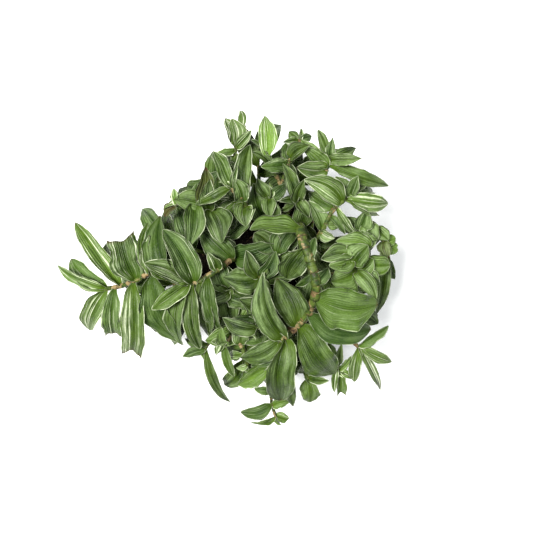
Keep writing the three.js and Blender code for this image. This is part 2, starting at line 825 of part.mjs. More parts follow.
function rimShoot([bearing, reach, leafLength], index) {
  const angle = THREE.MathUtils.degToRad(bearing);
  const at = (r) => [r * Math.cos(angle), r * Math.sin(angle)];
  const route = RIM_ROUTE.map(([r, share, z]) => [...at(r + reach * share), z]);
  const leaves = [];
  for (let i = 0; i < RIM_LEAVES; i++) {
    const seed = index * 31 + i;
    const share = i / (RIM_LEAVES - 1);
    const [x, y] = at(RIM_LEAF_START + (reach + RIM_LEAF_RUN) * share);
    const length = vary(leafLength, SIZE_VARIETY, seed);
    const swing = RIM_SWING - RIM_SWING_LOSS * share + RIM_SWING_SPREAD * scatter(seed + 0.7);
    const heading = i % 2 ? angle + swing : angle - swing;
    const tipX = x + length * Math.cos(heading);
    const tipY = y + length * Math.sin(heading);
    const tipZ = RIM_TIP_HEIGHT - RIM_TIP_FALL * share - RIM_TIP_SPREAD * scatter(seed + 0.8);
    const width = vary(RIM_LEAF_WIDTH, SIZE_VARIETY, seed + 0.9);
    leaves.push([x, y, tipX, tipY, tipZ, width, {}]);
  }
  return { name: `rim_${index + 1}`, radius: RIM_STEM_RADIUS, stems: [route], leaves };
}

function lowerLeaves([x, y], index) {
  return LOWER_HEIGHTS.map((aboveSoil, i) => {
    const seed = 500 + index * 17 + i;
    const bearing = LOWER_START + (index * 3 + i) * GOLDEN_ANGLE;
    const length = vary(LOWER_LENGTH, SIZE_VARIETY, seed);
    const [tipX, tipY] = [x + length * Math.cos(bearing), y + length * Math.sin(bearing)];
    const height = SOIL_TOP + aboveSoil;
    const tipZ = height + LOWER_RISE * (scatter(seed + 0.4) - 0.3);
    return [x, y, tipX, tipY, tipZ, vary(LOWER_WIDTH, SIZE_VARIETY, seed + 0.6), { height }];
  });
}

function growStems(shoot) {
  const stems = makeStems(shoot.stems);
  const root = stems[0].spine[0];
  const sides = sidesOf(shoot.radius);
  const bottom = SOIL_TOP - ROOT_DEPTH;
  const rootRadius = shoot.radius * ROOT_SWELL;
  const neck = SOIL_TOP + ROOT_NECK;
  const peg = uprightCylinder(rootRadius, bottom, neck, root.x, root.y, sides);
  const holeRadius = rootRadius + 2 * SEAT_GAP;
  const mouth = SOIL_TOP + ROOT_HOLE_RISE;
  const hole = uprightCylinder(holeRadius, bottom - SEAT_GAP, mouth, root.x, root.y, sides);
  const pieces = [...stems.map((stem) => stemSolid(stem, shoot.radius)), peg];
  return { ...shoot, stems, hole, pieces, blades: [] };
}

function growPlant(pot) {
  const grown = [...SHOOTS, ...RIM_SHOOTS.map(rimShoot)].map(growStems);
  const soil = makeSoil(grown.map((shoot) => shoot.hole));
  const taken = [boxed(pot, "pot"), boxed(soil, "soil")];
  for (const shoot of grown) {
    for (const piece of shoot.pieces) taken.push(boxed(piece, shoot.name));
  }
  const rows = grown.flatMap((shoot) => shoot.leaves.map((row) => [shoot, row]));
  SHOOTS.forEach(({ stems }, n) => {
    for (const row of lowerLeaves(stems[0][0], n)) rows.push([grown[n], row]);
  });
  rows.forEach(([shoot, row], seed) => {
    const leaf = makeLeaf(shoot.stems, row, seed);
    const settled = settle(leaf, shoot.name, taken, shoot.blades);
    if (!settled) return;
    const whole = leafSolid(leaf, settled.bend);
    shoot.pieces.push(whole);
    shoot.blades.push(settled.blade);
    taken.push(boxed(whole, shoot.name));
  });
  return { soil, grown };
}

function addMesh(group, name, solid, material) {
  const mesh = new THREE.Mesh(toGeometry(solid), material);
  mesh.name = name;
  group.add(mesh);
}

const group = new THREE.Group();
const pot = makePot();
const { soil, grown } = growPlant(pot);
addMesh(group, "pot", pot, potGrey);
addMesh(group, "soil", soil, soilBrown);
for (const shoot of grown) {
  const whole = shoot.pieces.reduce((joined, piece) => joined.add(piece));
  addMesh(group, `shoot_${shoot.name}`, whole, leafGreen);
}

export default group;
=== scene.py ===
# A bushy tradescantia with striped leaves, trailing over the rim of a plain nursery pot.
# Metres, Z up. Lengths in the tables and formulas of the plant are millimetres, as drawn.
import itertools
import math

import bmesh
import bpy
import numpy as np
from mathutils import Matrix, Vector
from mathutils.kdtree import KDTree


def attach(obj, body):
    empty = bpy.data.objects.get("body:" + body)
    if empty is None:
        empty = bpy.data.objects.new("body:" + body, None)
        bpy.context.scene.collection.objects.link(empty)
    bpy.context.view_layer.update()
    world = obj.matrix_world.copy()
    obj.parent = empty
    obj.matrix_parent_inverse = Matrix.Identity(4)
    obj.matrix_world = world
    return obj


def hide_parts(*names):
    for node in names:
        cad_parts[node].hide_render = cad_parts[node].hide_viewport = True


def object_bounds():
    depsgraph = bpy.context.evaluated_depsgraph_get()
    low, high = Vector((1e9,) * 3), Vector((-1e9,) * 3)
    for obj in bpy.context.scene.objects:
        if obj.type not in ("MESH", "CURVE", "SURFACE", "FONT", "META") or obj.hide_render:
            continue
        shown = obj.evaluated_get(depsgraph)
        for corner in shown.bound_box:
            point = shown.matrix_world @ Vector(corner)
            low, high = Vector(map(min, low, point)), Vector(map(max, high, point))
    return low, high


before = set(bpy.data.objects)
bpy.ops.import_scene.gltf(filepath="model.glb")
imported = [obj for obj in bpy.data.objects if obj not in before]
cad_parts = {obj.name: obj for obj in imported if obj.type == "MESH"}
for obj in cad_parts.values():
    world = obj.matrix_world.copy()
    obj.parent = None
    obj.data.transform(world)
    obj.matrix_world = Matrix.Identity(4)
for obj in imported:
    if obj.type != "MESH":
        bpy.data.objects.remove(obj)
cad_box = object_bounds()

MM = 0.001
BODY = "root"

# ---- Driving dimensions, as in the frame ----

POT_HEIGHT = 118
POT_RIM_RADIUS = 75
POT_BASE_RADIUS = 52
POT_WALL = 1.8
POT_FLOOR = 2.4
RIM_BAND_HEIGHT = 15
RIM_BAND_STEP = 1.6
DRAIN_HOLES = 4
DRAIN_RADIUS = 5
DRAIN_RING_RADIUS = 36
SOIL_TOP = 104
SEAT_GAP = 0.3

STEM_STEP = 13
STEM_SPLITS = 6
ARC_SPLITS = 200
LEAF_THICKNESS = 0.7
LEAF_ARCH = 0.14
LEAF_FOLD = 0.3
LEAF_ROLL = 0.9
LEAF_WAVE = 0.08
LEAF_WAVES = 1.5
LEAF_VARIETY = 0.4
SIZE_VARIETY = 0.2
OUTLINE_LEAN = 0.75
OUTLINE_FULLNESS = 0.65
ARCH_LEAN = 0.8

# Where the frame's blades have corners along them, in leaves up to a width.
LEAF_STATIONS = [(8, (0.42,)), (25, (0.26, 0.68)), (math.inf, (0.18, 0.46, 0.78))]

# Plan places are where an eye straight above the pot, EYE_HEIGHT over the floor, sees a
# point against the level PLAN_LEVEL. place() moves them along the sight line to their height.
EYE_HEIGHT = 665
PLAN_LEVEL = 130

# A shoot has a name, the radius of its stems, the stems as lists of (x, y, z), the first
# rooted in the soil and the others its forks, and leaves, as (x, y of the base, x, y of the
# tip, z of the tip, width, and what it has of its own).
SHOOTS = [
    ("crown", 3.7, [[
        (38, 40, 104), (38, 41, 140), (38, 41, 168), (39, 37, 179), (42, 25, 184), (48, 10, 186),
        (54, -12, 184), (55, -22, 181), (52, -33, 174), (46, -46, 162), (35, -58, 153), (23, -68, 151),
        (17, -75, 149),
    ]], [
        (56, -30, 118, -37, 170, 36, {"fold": 0.12}),
        (23, -69, 1, -4, 178, 24, {"fold": 0.35, "arch": 0.14}),
        (23, -68, 19, -134, 132, 27, {"arch": 0.16}), (36, -57, 73, -108, 136, 30, {"fold": 0.18}),
        (48, -45, 110, -62, 142, 27, {"arch": 0.14}), (35, -57, 15, -10, 156, 26),
        (20, -72, -22, -90, 138, 18), (22, -70, 31, -139, 116, 14),
        (37, 38, -12, 39, 170, 15, {"fold": 0.6}), (38, 40, 51, 28, 170, 13), (49, 8, 54, 31, 178, 8),
        (43, 20, 25, -11, 168, 23), (55, -16, 67, 0, 178, 11), (51, -5, 34, -18, 176, 6),
        (20, -70, 0, -58, 160, 8),
    ]),
    ("left_runner", 2.1, [[
        (-26, 9, 104), (-26, 9, 124), (-31, 8, 140), (-42, 0, 150), (-54, -8, 153), (-67, -15, 151),
        (-87, -13, 147), (-110, -5, 141), (-125, -12, 135), (-141, -18, 127), (-157, -21, 118),
    ]], [
        (-67, -15, -99, 39, 164, 22, {"fold": 0.5}), (-110, -5, -79, -77, 114, 30, {"arch": 0.12}),
        (-127, -13, -130, -89, 100, 23, {"cut": 0.86}), (-126, -12, -142, 34, 146, 28, {"cut": 0.8}),
        (-142, -18, -188, 46, 122, 15, {"fold": 0.5}), (-157, -21, -175, -63, 94, 19),
        (-157, -20, -192, 9, 114, 16, {"cut": 0.9}), (-158, -21, -199, 3, 100, 12),
        (-146, -20, -148, -69, 100, 17, {"cut": 0.85}), (-141, -18, -157, 25, 118, 12),
        (-54, -8, -41, -66, 136, 15, {"roll": 0.3}), (-62, -13, -52, -79, 130, 17, {"roll": 0.3}),
        (-69, -15, -61, -80, 124, 16, {"roll": 0.3}), (-76, -14, -71, -77, 117, 17, {"roll": 0.3}),
        (-72, -15, -118, 5, 162, 17, {"arch": 0.14}), (-72, -15, -111, -42, 156, 14, {"arch": 0.2}),
        (-90, -12, -104, 54, 148, 26), (-116, -8, -115, 46, 128, 9), (-112, -6, -113, 33, 150, 6),
        (-27, 9, 15, 24, 146, 27, {"fold": 0.1}), (-29, 9, -63, 40, 146, 22),
        (-44, -1, -54, 16, 162, 12), (-156, -21, -178, -23, 112, 3),
    ]),
    ("upper_left", 1.9, [[
        (-12, 44, 104), (-12, 45, 128), (-14, 56, 152), (-18, 67, 163), (-25, 75, 168), (-32, 81, 169),
    ]], [
        (-16, 66, -12, 125, 166, 16), (-29, 79, -48, 117, 162, 16),
        (-31, 80, -67, 64, 166, 10, {"fold": 0.5}), (-19, 68, -28, 90, 178, 14),
        (-15, 62, -16, 42, 172, 18), (-18, 67, -33, 40, 160, 15), (-31, 80, -24, 102, 168, 5),
        (-12, 50, -38, 28, 142, 14),
    ]),
    ("left_upper", 1.9, [[
        (-36, 40, 104), (-36, 41, 124), (-43, 51, 144), (-56, 62, 155), (-71, 63, 158), (-86, 63, 156),
    ]], [
        (-50, 58, -40, 25, 164, 24), (-68, 63, -73, 21, 168, 18), (-55, 61, -88, 69, 164, 20),
        (-62, 63, -56, 101, 152, 13), (-52, 60, -51, 88, 158, 13), (-86, 63, -88, 80, 160, 5),
        (-84, 63, -98, 52, 154, 10), (-46, 54, -70, 36, 144, 19), (-44, 52, -20, 64, 146, 18),
    ]),
    ("top_left", 1.6, [[
        (-24, 52, 104), (-24, 53, 120), (-26, 74, 134), (-27, 98, 141), (-27, 114, 141),
        (-25, 124, 138), (-20, 136, 131),
    ]], [
        (-26, 119, -37, 151, 134, 14), (-25, 122, -30, 150, 146, 15), (-20, 136, -22, 158, 126, 8),
        (-27, 117, -51, 111, 144, 8, {"arch": 0.25}), (-27, 112, -20, 96, 150, 10),
        (-26, 120, -10, 136, 138, 9), (-27, 98, -46, 104, 146, 11),
    ]),
    ("top", 1.7, [[
        (13, 55, 104), (13, 56, 122), (17, 71, 138), (22, 90, 148), (26, 104, 151), (32, 118, 147),
        (38, 129, 140),
    ], [
        (20, 80, 144), (13, 96, 152), (5, 112, 156),
    ]], [
        (5, 112, 3, 154, 152, 18), (10, 102, -9, 117, 162, 10), (25, 102, -1, 102, 162, 14),
        (26, 106, 24, 128, 160, 13), (28, 109, 47, 121, 154, 14), (37, 127, 21, 126, 146, 6),
        (38, 129, 27, 137, 140, 9), (6, 110, -13, 130, 146, 5), (38, 129, 50, 132, 134, 8),
    ]),
    ("top_mid", 1.7, [[
        (24, 50, 104), (24, 51, 126), (30, 62, 146), (37, 69, 156),
    ]], [
        (35, 67, 21, 105, 166, 13), (36, 68, 30, 107, 158, 13), (37, 69, 42, 87, 168, 12),
        (37, 69, 48, 51, 160, 12), (35, 67, 18, 68, 170, 7, {"fold": 0.5}), (34, 66, 19, 59, 160, 6),
    ]),
    ("mid_sprig", 1.6, [[
        (2, 49, 104), (2, 50, 128), (6, 64, 148), (8, 72, 153),
    ]], [
        (8, 71, 8, 50, 158, 13), (8, 72, 16, 44, 150, 9), (8, 71, -5, 90, 154, 13),
        (8, 69, 24, 84, 150, 12),
    ]),
    ("top_right", 1.6, [[
        (50, 25, 104), (50, 26, 116), (50, 42, 130), (52, 66, 141), (61, 90, 148), (67, 104, 149),
        (69, 110, 147),
    ]], [
        (68, 105, 56, 139, 138, 9), (69, 109, 70, 129, 152, 10), (69, 109, 95, 121, 142, 11),
        (66, 102, 39, 131, 148, 12), (65, 100, 42, 122, 158, 13), (64, 98, 34, 99, 152, 17),
        (68, 107, 96, 105, 152, 11), (66, 101, 129, 83, 138, 14),
    ]),
    ("right_upper", 1.8, [[
        (46, 14, 104), (46, 15, 126), (53, 26, 144), (62, 40, 155), (68, 53, 160), (75, 62, 160),
        (84, 69, 158), (93, 75, 154),
    ]], [
        (84, 69, 127, 65, 144, 16), (82, 67, 117, 59, 136, 13, {"cut": 0.9}), (80, 66, 43, 90, 166, 20),
        (84, 69, 75, 93, 160, 13), (88, 72, 95, 91, 160, 11), (92, 74, 107, 88, 154, 10),
        (92, 74, 115, 79, 148, 11), (74, 61, 98, 31, 150, 8), (68, 53, 84, 34, 158, 7),
        (71, 58, 48, 77, 160, 15), (61, 38, 47, 68, 160, 14), (59, 36, 73, 30, 158, 11),
        (64, 45, 81, 46, 162, 10),
    ]),
    ("right_mid", 1.9, [[
        (50, -6, 104), (50, -6, 122), (62, -6, 140), (80, -7, 150), (92, -6, 153), (101, 2, 153),
        (106, 12, 151), (107, 22, 148),
    ], [
        (94, -5, 153), (91, 5, 158), (90, 14, 159),
    ]], [
        (92, -6, 69, -13, 166, 24), (97, -3, 112, 9, 162, 18), (91, 5, 107, 23, 166, 18),
        (102, 3, 129, 3, 146, 15), (106, 20, 74, 27, 158, 14), (90, 13, 59, 9, 164, 13),
        (91, 7, 66, 2, 156, 14), (94, -6, 103, -24, 152, 14), (99, -1, 117, -17, 148, 16),
        (96, -5, 110, -31, 140, 12), (107, 22, 100, 38, 154, 14), (74, -7, 66, -27, 146, 17),
    ]),
    ("far_right", 1.5, [[
        (56, 13, 104), (57, 13, 118), (71, 21, 131), (87, 32, 138), (101, 42, 140), (110, 46, 138),
        (117, 38, 135), (122, 24, 131),
    ]], [
        (104, 44, 113, 24, 148, 15), (116, 40, 127, 28, 142, 12), (98, 40, 104, 58, 146, 14),
        (121, 27, 134, 30, 132, 11), (122, 24, 136, 17, 126, 11), (122, 25, 126, 9, 138, 11),
        (122, 24, 118, -49, 118, 11), (90, 34, 84, 52, 142, 15),
    ]),
    ("centre", 1.8, [[
        (-2, -10, 104), (-2, -10, 130), (-2, -9, 146), (0, -8, 151),
    ]], [
        (-2, -9, -39, -9, 148, 23), (-1, -8, 14, 17, 154, 15), (-2, -9, 12, -38, 142, 17),
        (-2, -9, -16, 18, 152, 14),
    ]),
    ("heart", 1.6, [[
        (14, 14, 104), (14, 14, 122), (15, 13, 140),
    ]], [
        (15, 13, -8, 36, 138, 22), (15, 13, 34, 44, 136, 20), (15, 13, 40, -8, 140, 22),
        (15, 13, 16, -26, 136, 22), (15, 13, -20, -2, 130, 20),
    ]),
    ("heart_left", 1.6, [[
        (-34, -20, 104), (-34, -20, 118), (-33, -22, 130),
    ]], [
        (-33, -22, -4, -34, 136, 22), (-33, -22, -24, -56, 130, 20), (-33, -22, -66, -40, 124, 20),
        (-33, -22, -50, 10, 130, 20), (-33, -22, -10, 4, 128, 22),
    ]),
    ("centre_front", 1.7, [[
        (3, -38, 104), (3, -38, 126), (1, -44, 141), (-2, -54, 146), (-5, -62, 147),
    ]], [
        (0, -48, -30, -50, 152, 14), (-4, -59, -39, -49, 144, 15), (-4, -60, -2, -43, 156, 6),
        (2, -40, -22, -30, 136, 15),
    ]),
    ("front_left", 1.6, [[
        (-20, -50, 104), (-20, -51, 118), (-26, -62, 131), (-33, -71, 138), (-39, -76, 137),
    ], [
        (-28, -65, 134), (-22, -76, 140), (-17, -88, 139), (-14, -99, 133),
    ]], [
        (-34, -72, -51, -74, 144, 8), (-38, -76, -28, -109, 120, 9), (-22, -76, -20, -56, 152, 15),
        (-18, -87, -37, -90, 138, 9), (-39, -76, -47, -86, 134, 7), (-15, -97, -26, -100, 136, 6),
        (-36, -74, -40, -58, 148, 10),
    ]),
    ("left_front", 1.5, [[
        (-38, -42, 104), (-38, -43, 113), (-44, -56, 122), (-51, -70, 125), (-57, -82, 122),
    ]], [
        (-57, -82, -32, -135, 94, 10, {"arch": 0.18}), (-56, -80, -80, -89, 124, 9),
        (-54, -77, -78, -71, 118, 9),
    ]),
    ("front_trail", 1.5, [[
        (6, -56, 104), (6, -57, 118), (6, -70, 127), (6, -86, 130), (7, -100, 129), (8, -120, 122),
        (10, -137, 113), (14, -150, 105),
    ]], [
        (6, -98, -25, -118, 122, 15), (8, -122, -8, -121, 126, 7), (10, -137, -22, -145, 108, 11),
        (13, -148, -12, -156, 98, 7), (10, -137, 28, -133, 118, 8), (13, -147, 27, -151, 102, 8),
        (7, -104, 20, -120, 120, 10), (6, -84, -10, -104, 128, 12),
    ]),
    ("front_right", 1.5, [[
        (26, -50, 104), (26, -51, 116), (31, -66, 124), (36, -86, 127), (41, -100, 125),
        (47, -112, 119),
    ]], [
        (47, -112, 48, -135, 112, 18), (42, -102, 54, -122, 114, 8), (41, -100, 48, -90, 132, 9),
        (46, -110, 66, -111, 120, 8), (38, -92, 20, -100, 124, 12),
    ]),
    ("right_bottom", 1.5, [[
        (42, -38, 104), (42, -39, 115), (54, -60, 124), (64, -80, 126), (72, -94, 122), (78, -103, 117),
    ]], [
        (78, -103, 78, -127, 104, 10, {"cut": 0.85}), (75, -99, 72, -124, 112, 6),
        (74, -97, 80, -76, 130, 7), (77, -102, 90, -88, 126, 8), (70, -92, 66, -74, 134, 9),
        (78, -103, 93, -110, 114, 7),
    ]),
    ("right_low", 1.6, [[
        (49, -27, 104), (50, -29, 116), (66, -43, 129), (82, -62, 134), (90, -73, 133), (98, -80, 129),
    ]], [
        (96, -78, 127, -58, 126, 10), (98, -80, 130, -94, 120, 11), (98, -80, 92, -114, 110, 11),
        (97, -79, 118, -122, 102, 9), (86, -68, 100, -52, 140, 11),
    ]),
]

# Low shoots that hang over the rim: (bearing in degrees, reach past the rim, leaf length).
RIM_SHOOTS = [
    (5, 22, 40), (284, 14, 36), (68, 28, 44), (92, 32, 46), (122, 12, 35), (142, 7, 33),
    (165, 20, 40), (190, 26, 44), (212, 14, 36), (259, 14, 36), (343, 18, 40),
]
RIM_STEM_RADIUS = 1.4
RIM_ROUTE = [
    (56, 0, 104), (57, 0, 113), (66, 0, 125), (80, 0, 130), (80, 0.6, 124), (80, 1, 110),
]
RIM_LEAVES = 5
RIM_LEAF_START = 71
RIM_LEAF_RUN = 9
RIM_LEAF_WIDTH = 19
RIM_SWING = 0.95
RIM_SWING_LOSS = 0.5
RIM_SWING_SPREAD = 0.3
RIM_TIP_HEIGHT = 126
RIM_TIP_FALL = 22
RIM_TIP_SPREAD = 10

# Low leaves on the upper stems, at these heights over the soil.
LOWER_HEIGHTS = (15, 28)
LOWER_LENGTH = 42
LOWER_WIDTH = 20
LOWER_RISE = 10
GOLDEN_ANGLE = 2.39996
LOWER_START = -0.9

# How far a leaf in the frame may be raised, in millimetres, turned aside, in radians, and
# shortened.
LIFTS = (0, 5, -5, 10, -10, 16, -16, 24)
TURNS = (0, 0.13, -0.13, 0.26, -0.26)
LENGTHS = (1, 0.86, 0.72)


# ---- Small helpers ----

def scatter(seed):
    """A number from 0 to 1 that looks random and is the same for the same seed."""
    s = math.sin(seed * 12.9898) * 43758.5453
    return s - math.floor(s)


def vary(value, share, seed):
    """The value made smaller or greater by up to a share of it."""
    return value * (1 - share + 2 * share * scatter(seed))


def place(x, y, z):
    """The point at height z that is seen at the plan place x, y."""
    scale = (EYE_HEIGHT - z) / (EYE_HEIGHT - PLAN_LEVEL)
    return np.array([x * scale, y * scale, z])


def turned(vector, axis, angle):
    """The vector, or rows of vectors, turned round the unit axis."""
    vector = np.asarray(vector, float)
    along = (vector @ axis)[..., None] * axis
    across = vector - along
    return along + across * math.cos(angle) + np.cross(axis, across) * math.sin(angle)


def unit(vector):
    return vector / np.linalg.norm(vector, axis=-1, keepdims=True)


def smooth(low, high, value):
    """0 below low, 1 above high, and a smooth step between them."""
    share = np.clip((np.asarray(value, float) - low) / (high - low), 0, 1)
    return share * share * (3 - 2 * share)


UP = np.array([0.0, 0.0, 1.0])


# ---- The lines of the stems ----

class Line:
    """A smooth line through points, walked by its share of the length."""

    def __init__(self, points):
        self.points = np.array(points, float)
        self.measure()

    def measure(self):
        self.shares = np.linspace(0, 1, ARC_SPLITS + 1)
        walked = np.linalg.norm(np.diff(self.bend(self.shares), axis=0), axis=1)
        self.lengths = np.concatenate([[0], np.cumsum(walked)])
        self.length = self.lengths[-1]

    def bend(self, shares):
        points = self.points
        padded = np.vstack([2 * points[0] - points[1], points, 2 * points[-1] - points[-2]])
        where = np.asarray(shares, float) * (len(points) - 1)
        first = np.minimum(where.astype(int), len(points) - 2)
        w = (where - first)[:, None]
        p0, p1, p2, p3 = (padded[first + k] for k in range(4))
        t0, t1 = 0.5 * (p2 - p0), 0.5 * (p3 - p1)
        squared = 3 * (p2 - p1) - 2 * t0 - t1
        cubed = 2 * (p1 - p2) + t0 + t1
        return p1 + t0 * w + squared * w ** 2 + cubed * w ** 3

    def at(self, shares):
        """The points at these shares of the line's length."""
        targets = np.asarray(shares, float) * self.length
        return self.bend(np.interp(targets, self.lengths, self.shares))


class Stem:
    """A stem's smooth line with its spine, the straight steps that its leaves grow from."""

    def __init__(self, route):
        self.line = Line([place(*point) for point in route])
        self.steps = max(3, math.floor(self.line.length / STEM_STEP + 0.5))
        self.settle()

    def settle(self):
        self.spine = self.line.at(np.linspace(0, 1, self.steps + 1))

    def start_on(self, point):
        """Moves the stem's first point there, as the start of a fork."""
        self.line.points[0] = point
        self.line.measure()
        self.settle()


def nearest_on(stems, x, y, z=None):
    """The point in the middle of a stem that is seen nearest to a plan place."""
    best = None
    for stem in stems:
        starts, ends = stem.spine[:-1, None], stem.spine[1:, None]
        shares = (np.arange(STEM_SPLITS) / STEM_SPLITS)[:, None]
        points = (starts + (ends - starts) * shares).reshape(-1, 3)
        scale = (EYE_HEIGHT - points[:, 2]) / (EYE_HEIGHT - PLAN_LEVEL)
        rise = 0 if z is None else points[:, 2] - z
        seen = points[:, :2] / scale[:, None] - [x, y]
        away = np.sqrt(seen[:, 0] ** 2 + seen[:, 1] ** 2 + rise ** 2)
        i = int(np.argmin(away))
        if best is None or away[i] < best[0]:
            best = (away[i], points[i])
    return best[1]


def grow_stems(routes):
    """The first route's stem, with the others as forks that start on it."""
    main = Stem(routes[0])
    forks = [Stem(route) for route in routes[1:]]
    for fork, route in zip(forks, routes[1:]):
        fork.start_on(nearest_on([main], *route[0]))
    return [main, *forks]


# ---- The leaves, where the frame's own blades are ----

class Leaf:
    """A leaf's place and form, as drawn by its seed but for what it has of its own."""

    def __init__(self, seed, number, base, tip, width, own):
        self.seed, self.number = seed, number
        self.base, self.tip, self.width = base, tip, width
        self.fold = own.get("fold", vary(LEAF_FOLD, LEAF_VARIETY, seed + 0.1))
        self.arch = own.get("arch", vary(LEAF_ARCH, LEAF_VARIETY, seed + 0.2))
        self.roll = own.get("roll", LEAF_ROLL * (scatter(seed + 0.3) - 0.5))
        self.wave = own.get("wave", vary(LEAF_WAVE, LEAF_VARIETY, seed + 0.4))
        self.phase = own.get("phase", 2 * math.pi * scatter(seed + 0.5))
        self.cut = own.get("cut", 1)

    def bend(self, lift, turn, length):
        """Raises the tip, turns it aside and draws it in, and sets the blade's directions."""
        self.drawn = length
        self.reach = turned(self.tip - self.base, UP, turn) * length + UP * lift
        self.length = np.linalg.norm(self.reach)
        along = self.reach / self.length
        level = unit(np.cross(UP, along))
        self.rise = np.cross(along, level)
        self.normal = turned(self.rise, along, self.roll)
        self.side = turned(level, along, self.roll)

    def midrib(self, t):
        """The arched line from the base to the tip."""
        s = t ** ARCH_LEAN
        hump = self.arch * self.length * 4 * s * (1 - s)
        return self.base + self.reach * t[..., None] + self.rise * hump[..., None]

    def corners(self):
        """The corners of the frame's own coarse blade."""
        stations = next(places for below, places in LEAF_STATIONS if self.width < below)
        half_thickness = LEAF_THICKNESS / 2 / math.cos(self.fold)
        found = []
        for t in [*stations, 1.0]:
            mid = self.midrib(np.array(t))
            outline = math.sin(math.pi * (t * self.cut) ** OUTLINE_LEAN) ** OUTLINE_FULLNESS
            half = self.width / 2 * outline * math.sqrt(self.drawn)
            row = [mid]
            if t < 1 or self.cut < 1:
                for sign in (1, -1):
                    turns = 2 * math.pi * LEAF_WAVES * t
                    wave = self.wave * math.sin(turns + self.phase + sign)
                    lift = half * (math.tan(self.fold) + wave)
                    row.append(mid + self.side * sign * half + self.normal * lift)
            for point in row:
                found.append(point + self.normal * half_thickness)
                found.append(point - self.normal * half_thickness)
        return found


MATCH_TOLERANCE = 0.02
MATCHES_NEEDED = 2


def settle(leaf, corners_of_node):
    """Bends the leaf as its blade in the frame is bent. False if the frame has no such blade."""
    best = None
    for length, turn, lift in itertools.product(LENGTHS, TURNS, LIFTS):
        leaf.bend(lift, turn, length)
        away = [corners_of_node.find(corner * MM)[2] for corner in leaf.corners()]
        hits = sum(distance < MATCH_TOLERANCE * MM for distance in away)
        if best is None or hits > best[0]:
            best = (hits, lift, turn, length)
    if best[0] < MATCHES_NEEDED:
        return False
    leaf.bend(*best[1:])
    return True


def corner_tree(node):
    """The corners of a node of the frame, in metres, for quick search."""
    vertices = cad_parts[node].data.vertices
    tree = KDTree(len(vertices))
    for i, vertex in enumerate(vertices):
        tree.insert(vertex.co, i)
    tree.balance()
    return tree


class Shoot:
    """A shoot's stems, and its leaves once they are in place."""

    def __init__(self, name, radius, routes, leaf_rows):
        self.name, self.radius, self.leaf_rows = name, radius, leaf_rows
        self.node = f"shoot_{name}"
        self.stems = grow_stems(routes)
        self.corners = corner_tree(self.node)
        self.leaves = []

    def add_leaf(self, row, seed, number):
        x, y, tip_x, tip_y, tip_z, width, *own = row
        own = own[0] if own else {}
        base = nearest_on(self.stems, x, y, own.get("height"))
        leaf = Leaf(seed, number, base, place(tip_x, tip_y, tip_z), width, own)
        if settle(leaf, self.corners):
            self.leaves.append(leaf)


def rim_shoot(index, bearing, reach, leaf_length):
    """The row of a low shoot that hangs over the rim."""
    angle = math.radians(bearing)

    def at(r):
        return r * math.cos(angle), r * math.sin(angle)

    route = [(*at(r + reach * share), z) for r, share, z in RIM_ROUTE]
    leaves = []
    for i in range(RIM_LEAVES):
        seed = index * 31 + i
        share = i / (RIM_LEAVES - 1)
        x, y = at(RIM_LEAF_START + (reach + RIM_LEAF_RUN) * share)
        length = vary(leaf_length, SIZE_VARIETY, seed)
        swing = RIM_SWING - RIM_SWING_LOSS * share + RIM_SWING_SPREAD * scatter(seed + 0.7)
        heading = angle + swing if i % 2 else angle - swing
        tip_z = RIM_TIP_HEIGHT - RIM_TIP_FALL * share - RIM_TIP_SPREAD * scatter(seed + 0.8)
        tip = (x + length * math.cos(heading), y + length * math.sin(heading), tip_z)
        leaves.append((x, y, *tip, vary(RIM_LEAF_WIDTH, SIZE_VARIETY, seed + 0.9)))
    return f"rim_{index + 1}", RIM_STEM_RADIUS, [route], leaves


def lower_leaves(x, y, index):
    """The rows of the low leaves on a stem that is rooted at x, y."""
    rows = []
    for i, above_soil in enumerate(LOWER_HEIGHTS):
        seed = 500 + index * 17 + i
        bearing = LOWER_START + (index * 3 + i) * GOLDEN_ANGLE
        length = vary(LOWER_LENGTH, SIZE_VARIETY, seed)
        height = SOIL_TOP + above_soil
        tip_z = height + LOWER_RISE * (scatter(seed + 0.4) - 0.3)
        tip = (x + length * math.cos(bearing), y + length * math.sin(bearing), tip_z)
        width = vary(LOWER_WIDTH, SIZE_VARIETY, seed + 0.6)
        rows.append((x, y, *tip, width, {"height": height}))
    return rows


def grow_plant():
    """The shoots with their leaves in place. A leaf's seed is its turn in the frame's order."""
    rim_rows = [rim_shoot(index, *row) for index, row in enumerate(RIM_SHOOTS)]
    shoots = [Shoot(*row) for row in SHOOTS + rim_rows]
    rows = [(shoot, row, number) for shoot in shoots for number, row in enumerate(shoot.leaf_rows)]
    for index, (shoot, (_, _, routes, _)) in enumerate(zip(shoots, SHOOTS)):
        x, y, _ = routes[0][0]
        rows += [(shoot, row, None) for row in lower_leaves(x, y, index)]
    for seed, (shoot, row, number) in enumerate(rows):
        shoot.add_leaf(row, seed, number)
    return shoots


# ---- Mesh building ----

def put(name, data):
    """A new object in the scene."""
    thing = bpy.data.objects.new(name, data)
    bpy.context.scene.collection.objects.link(thing)
    return thing


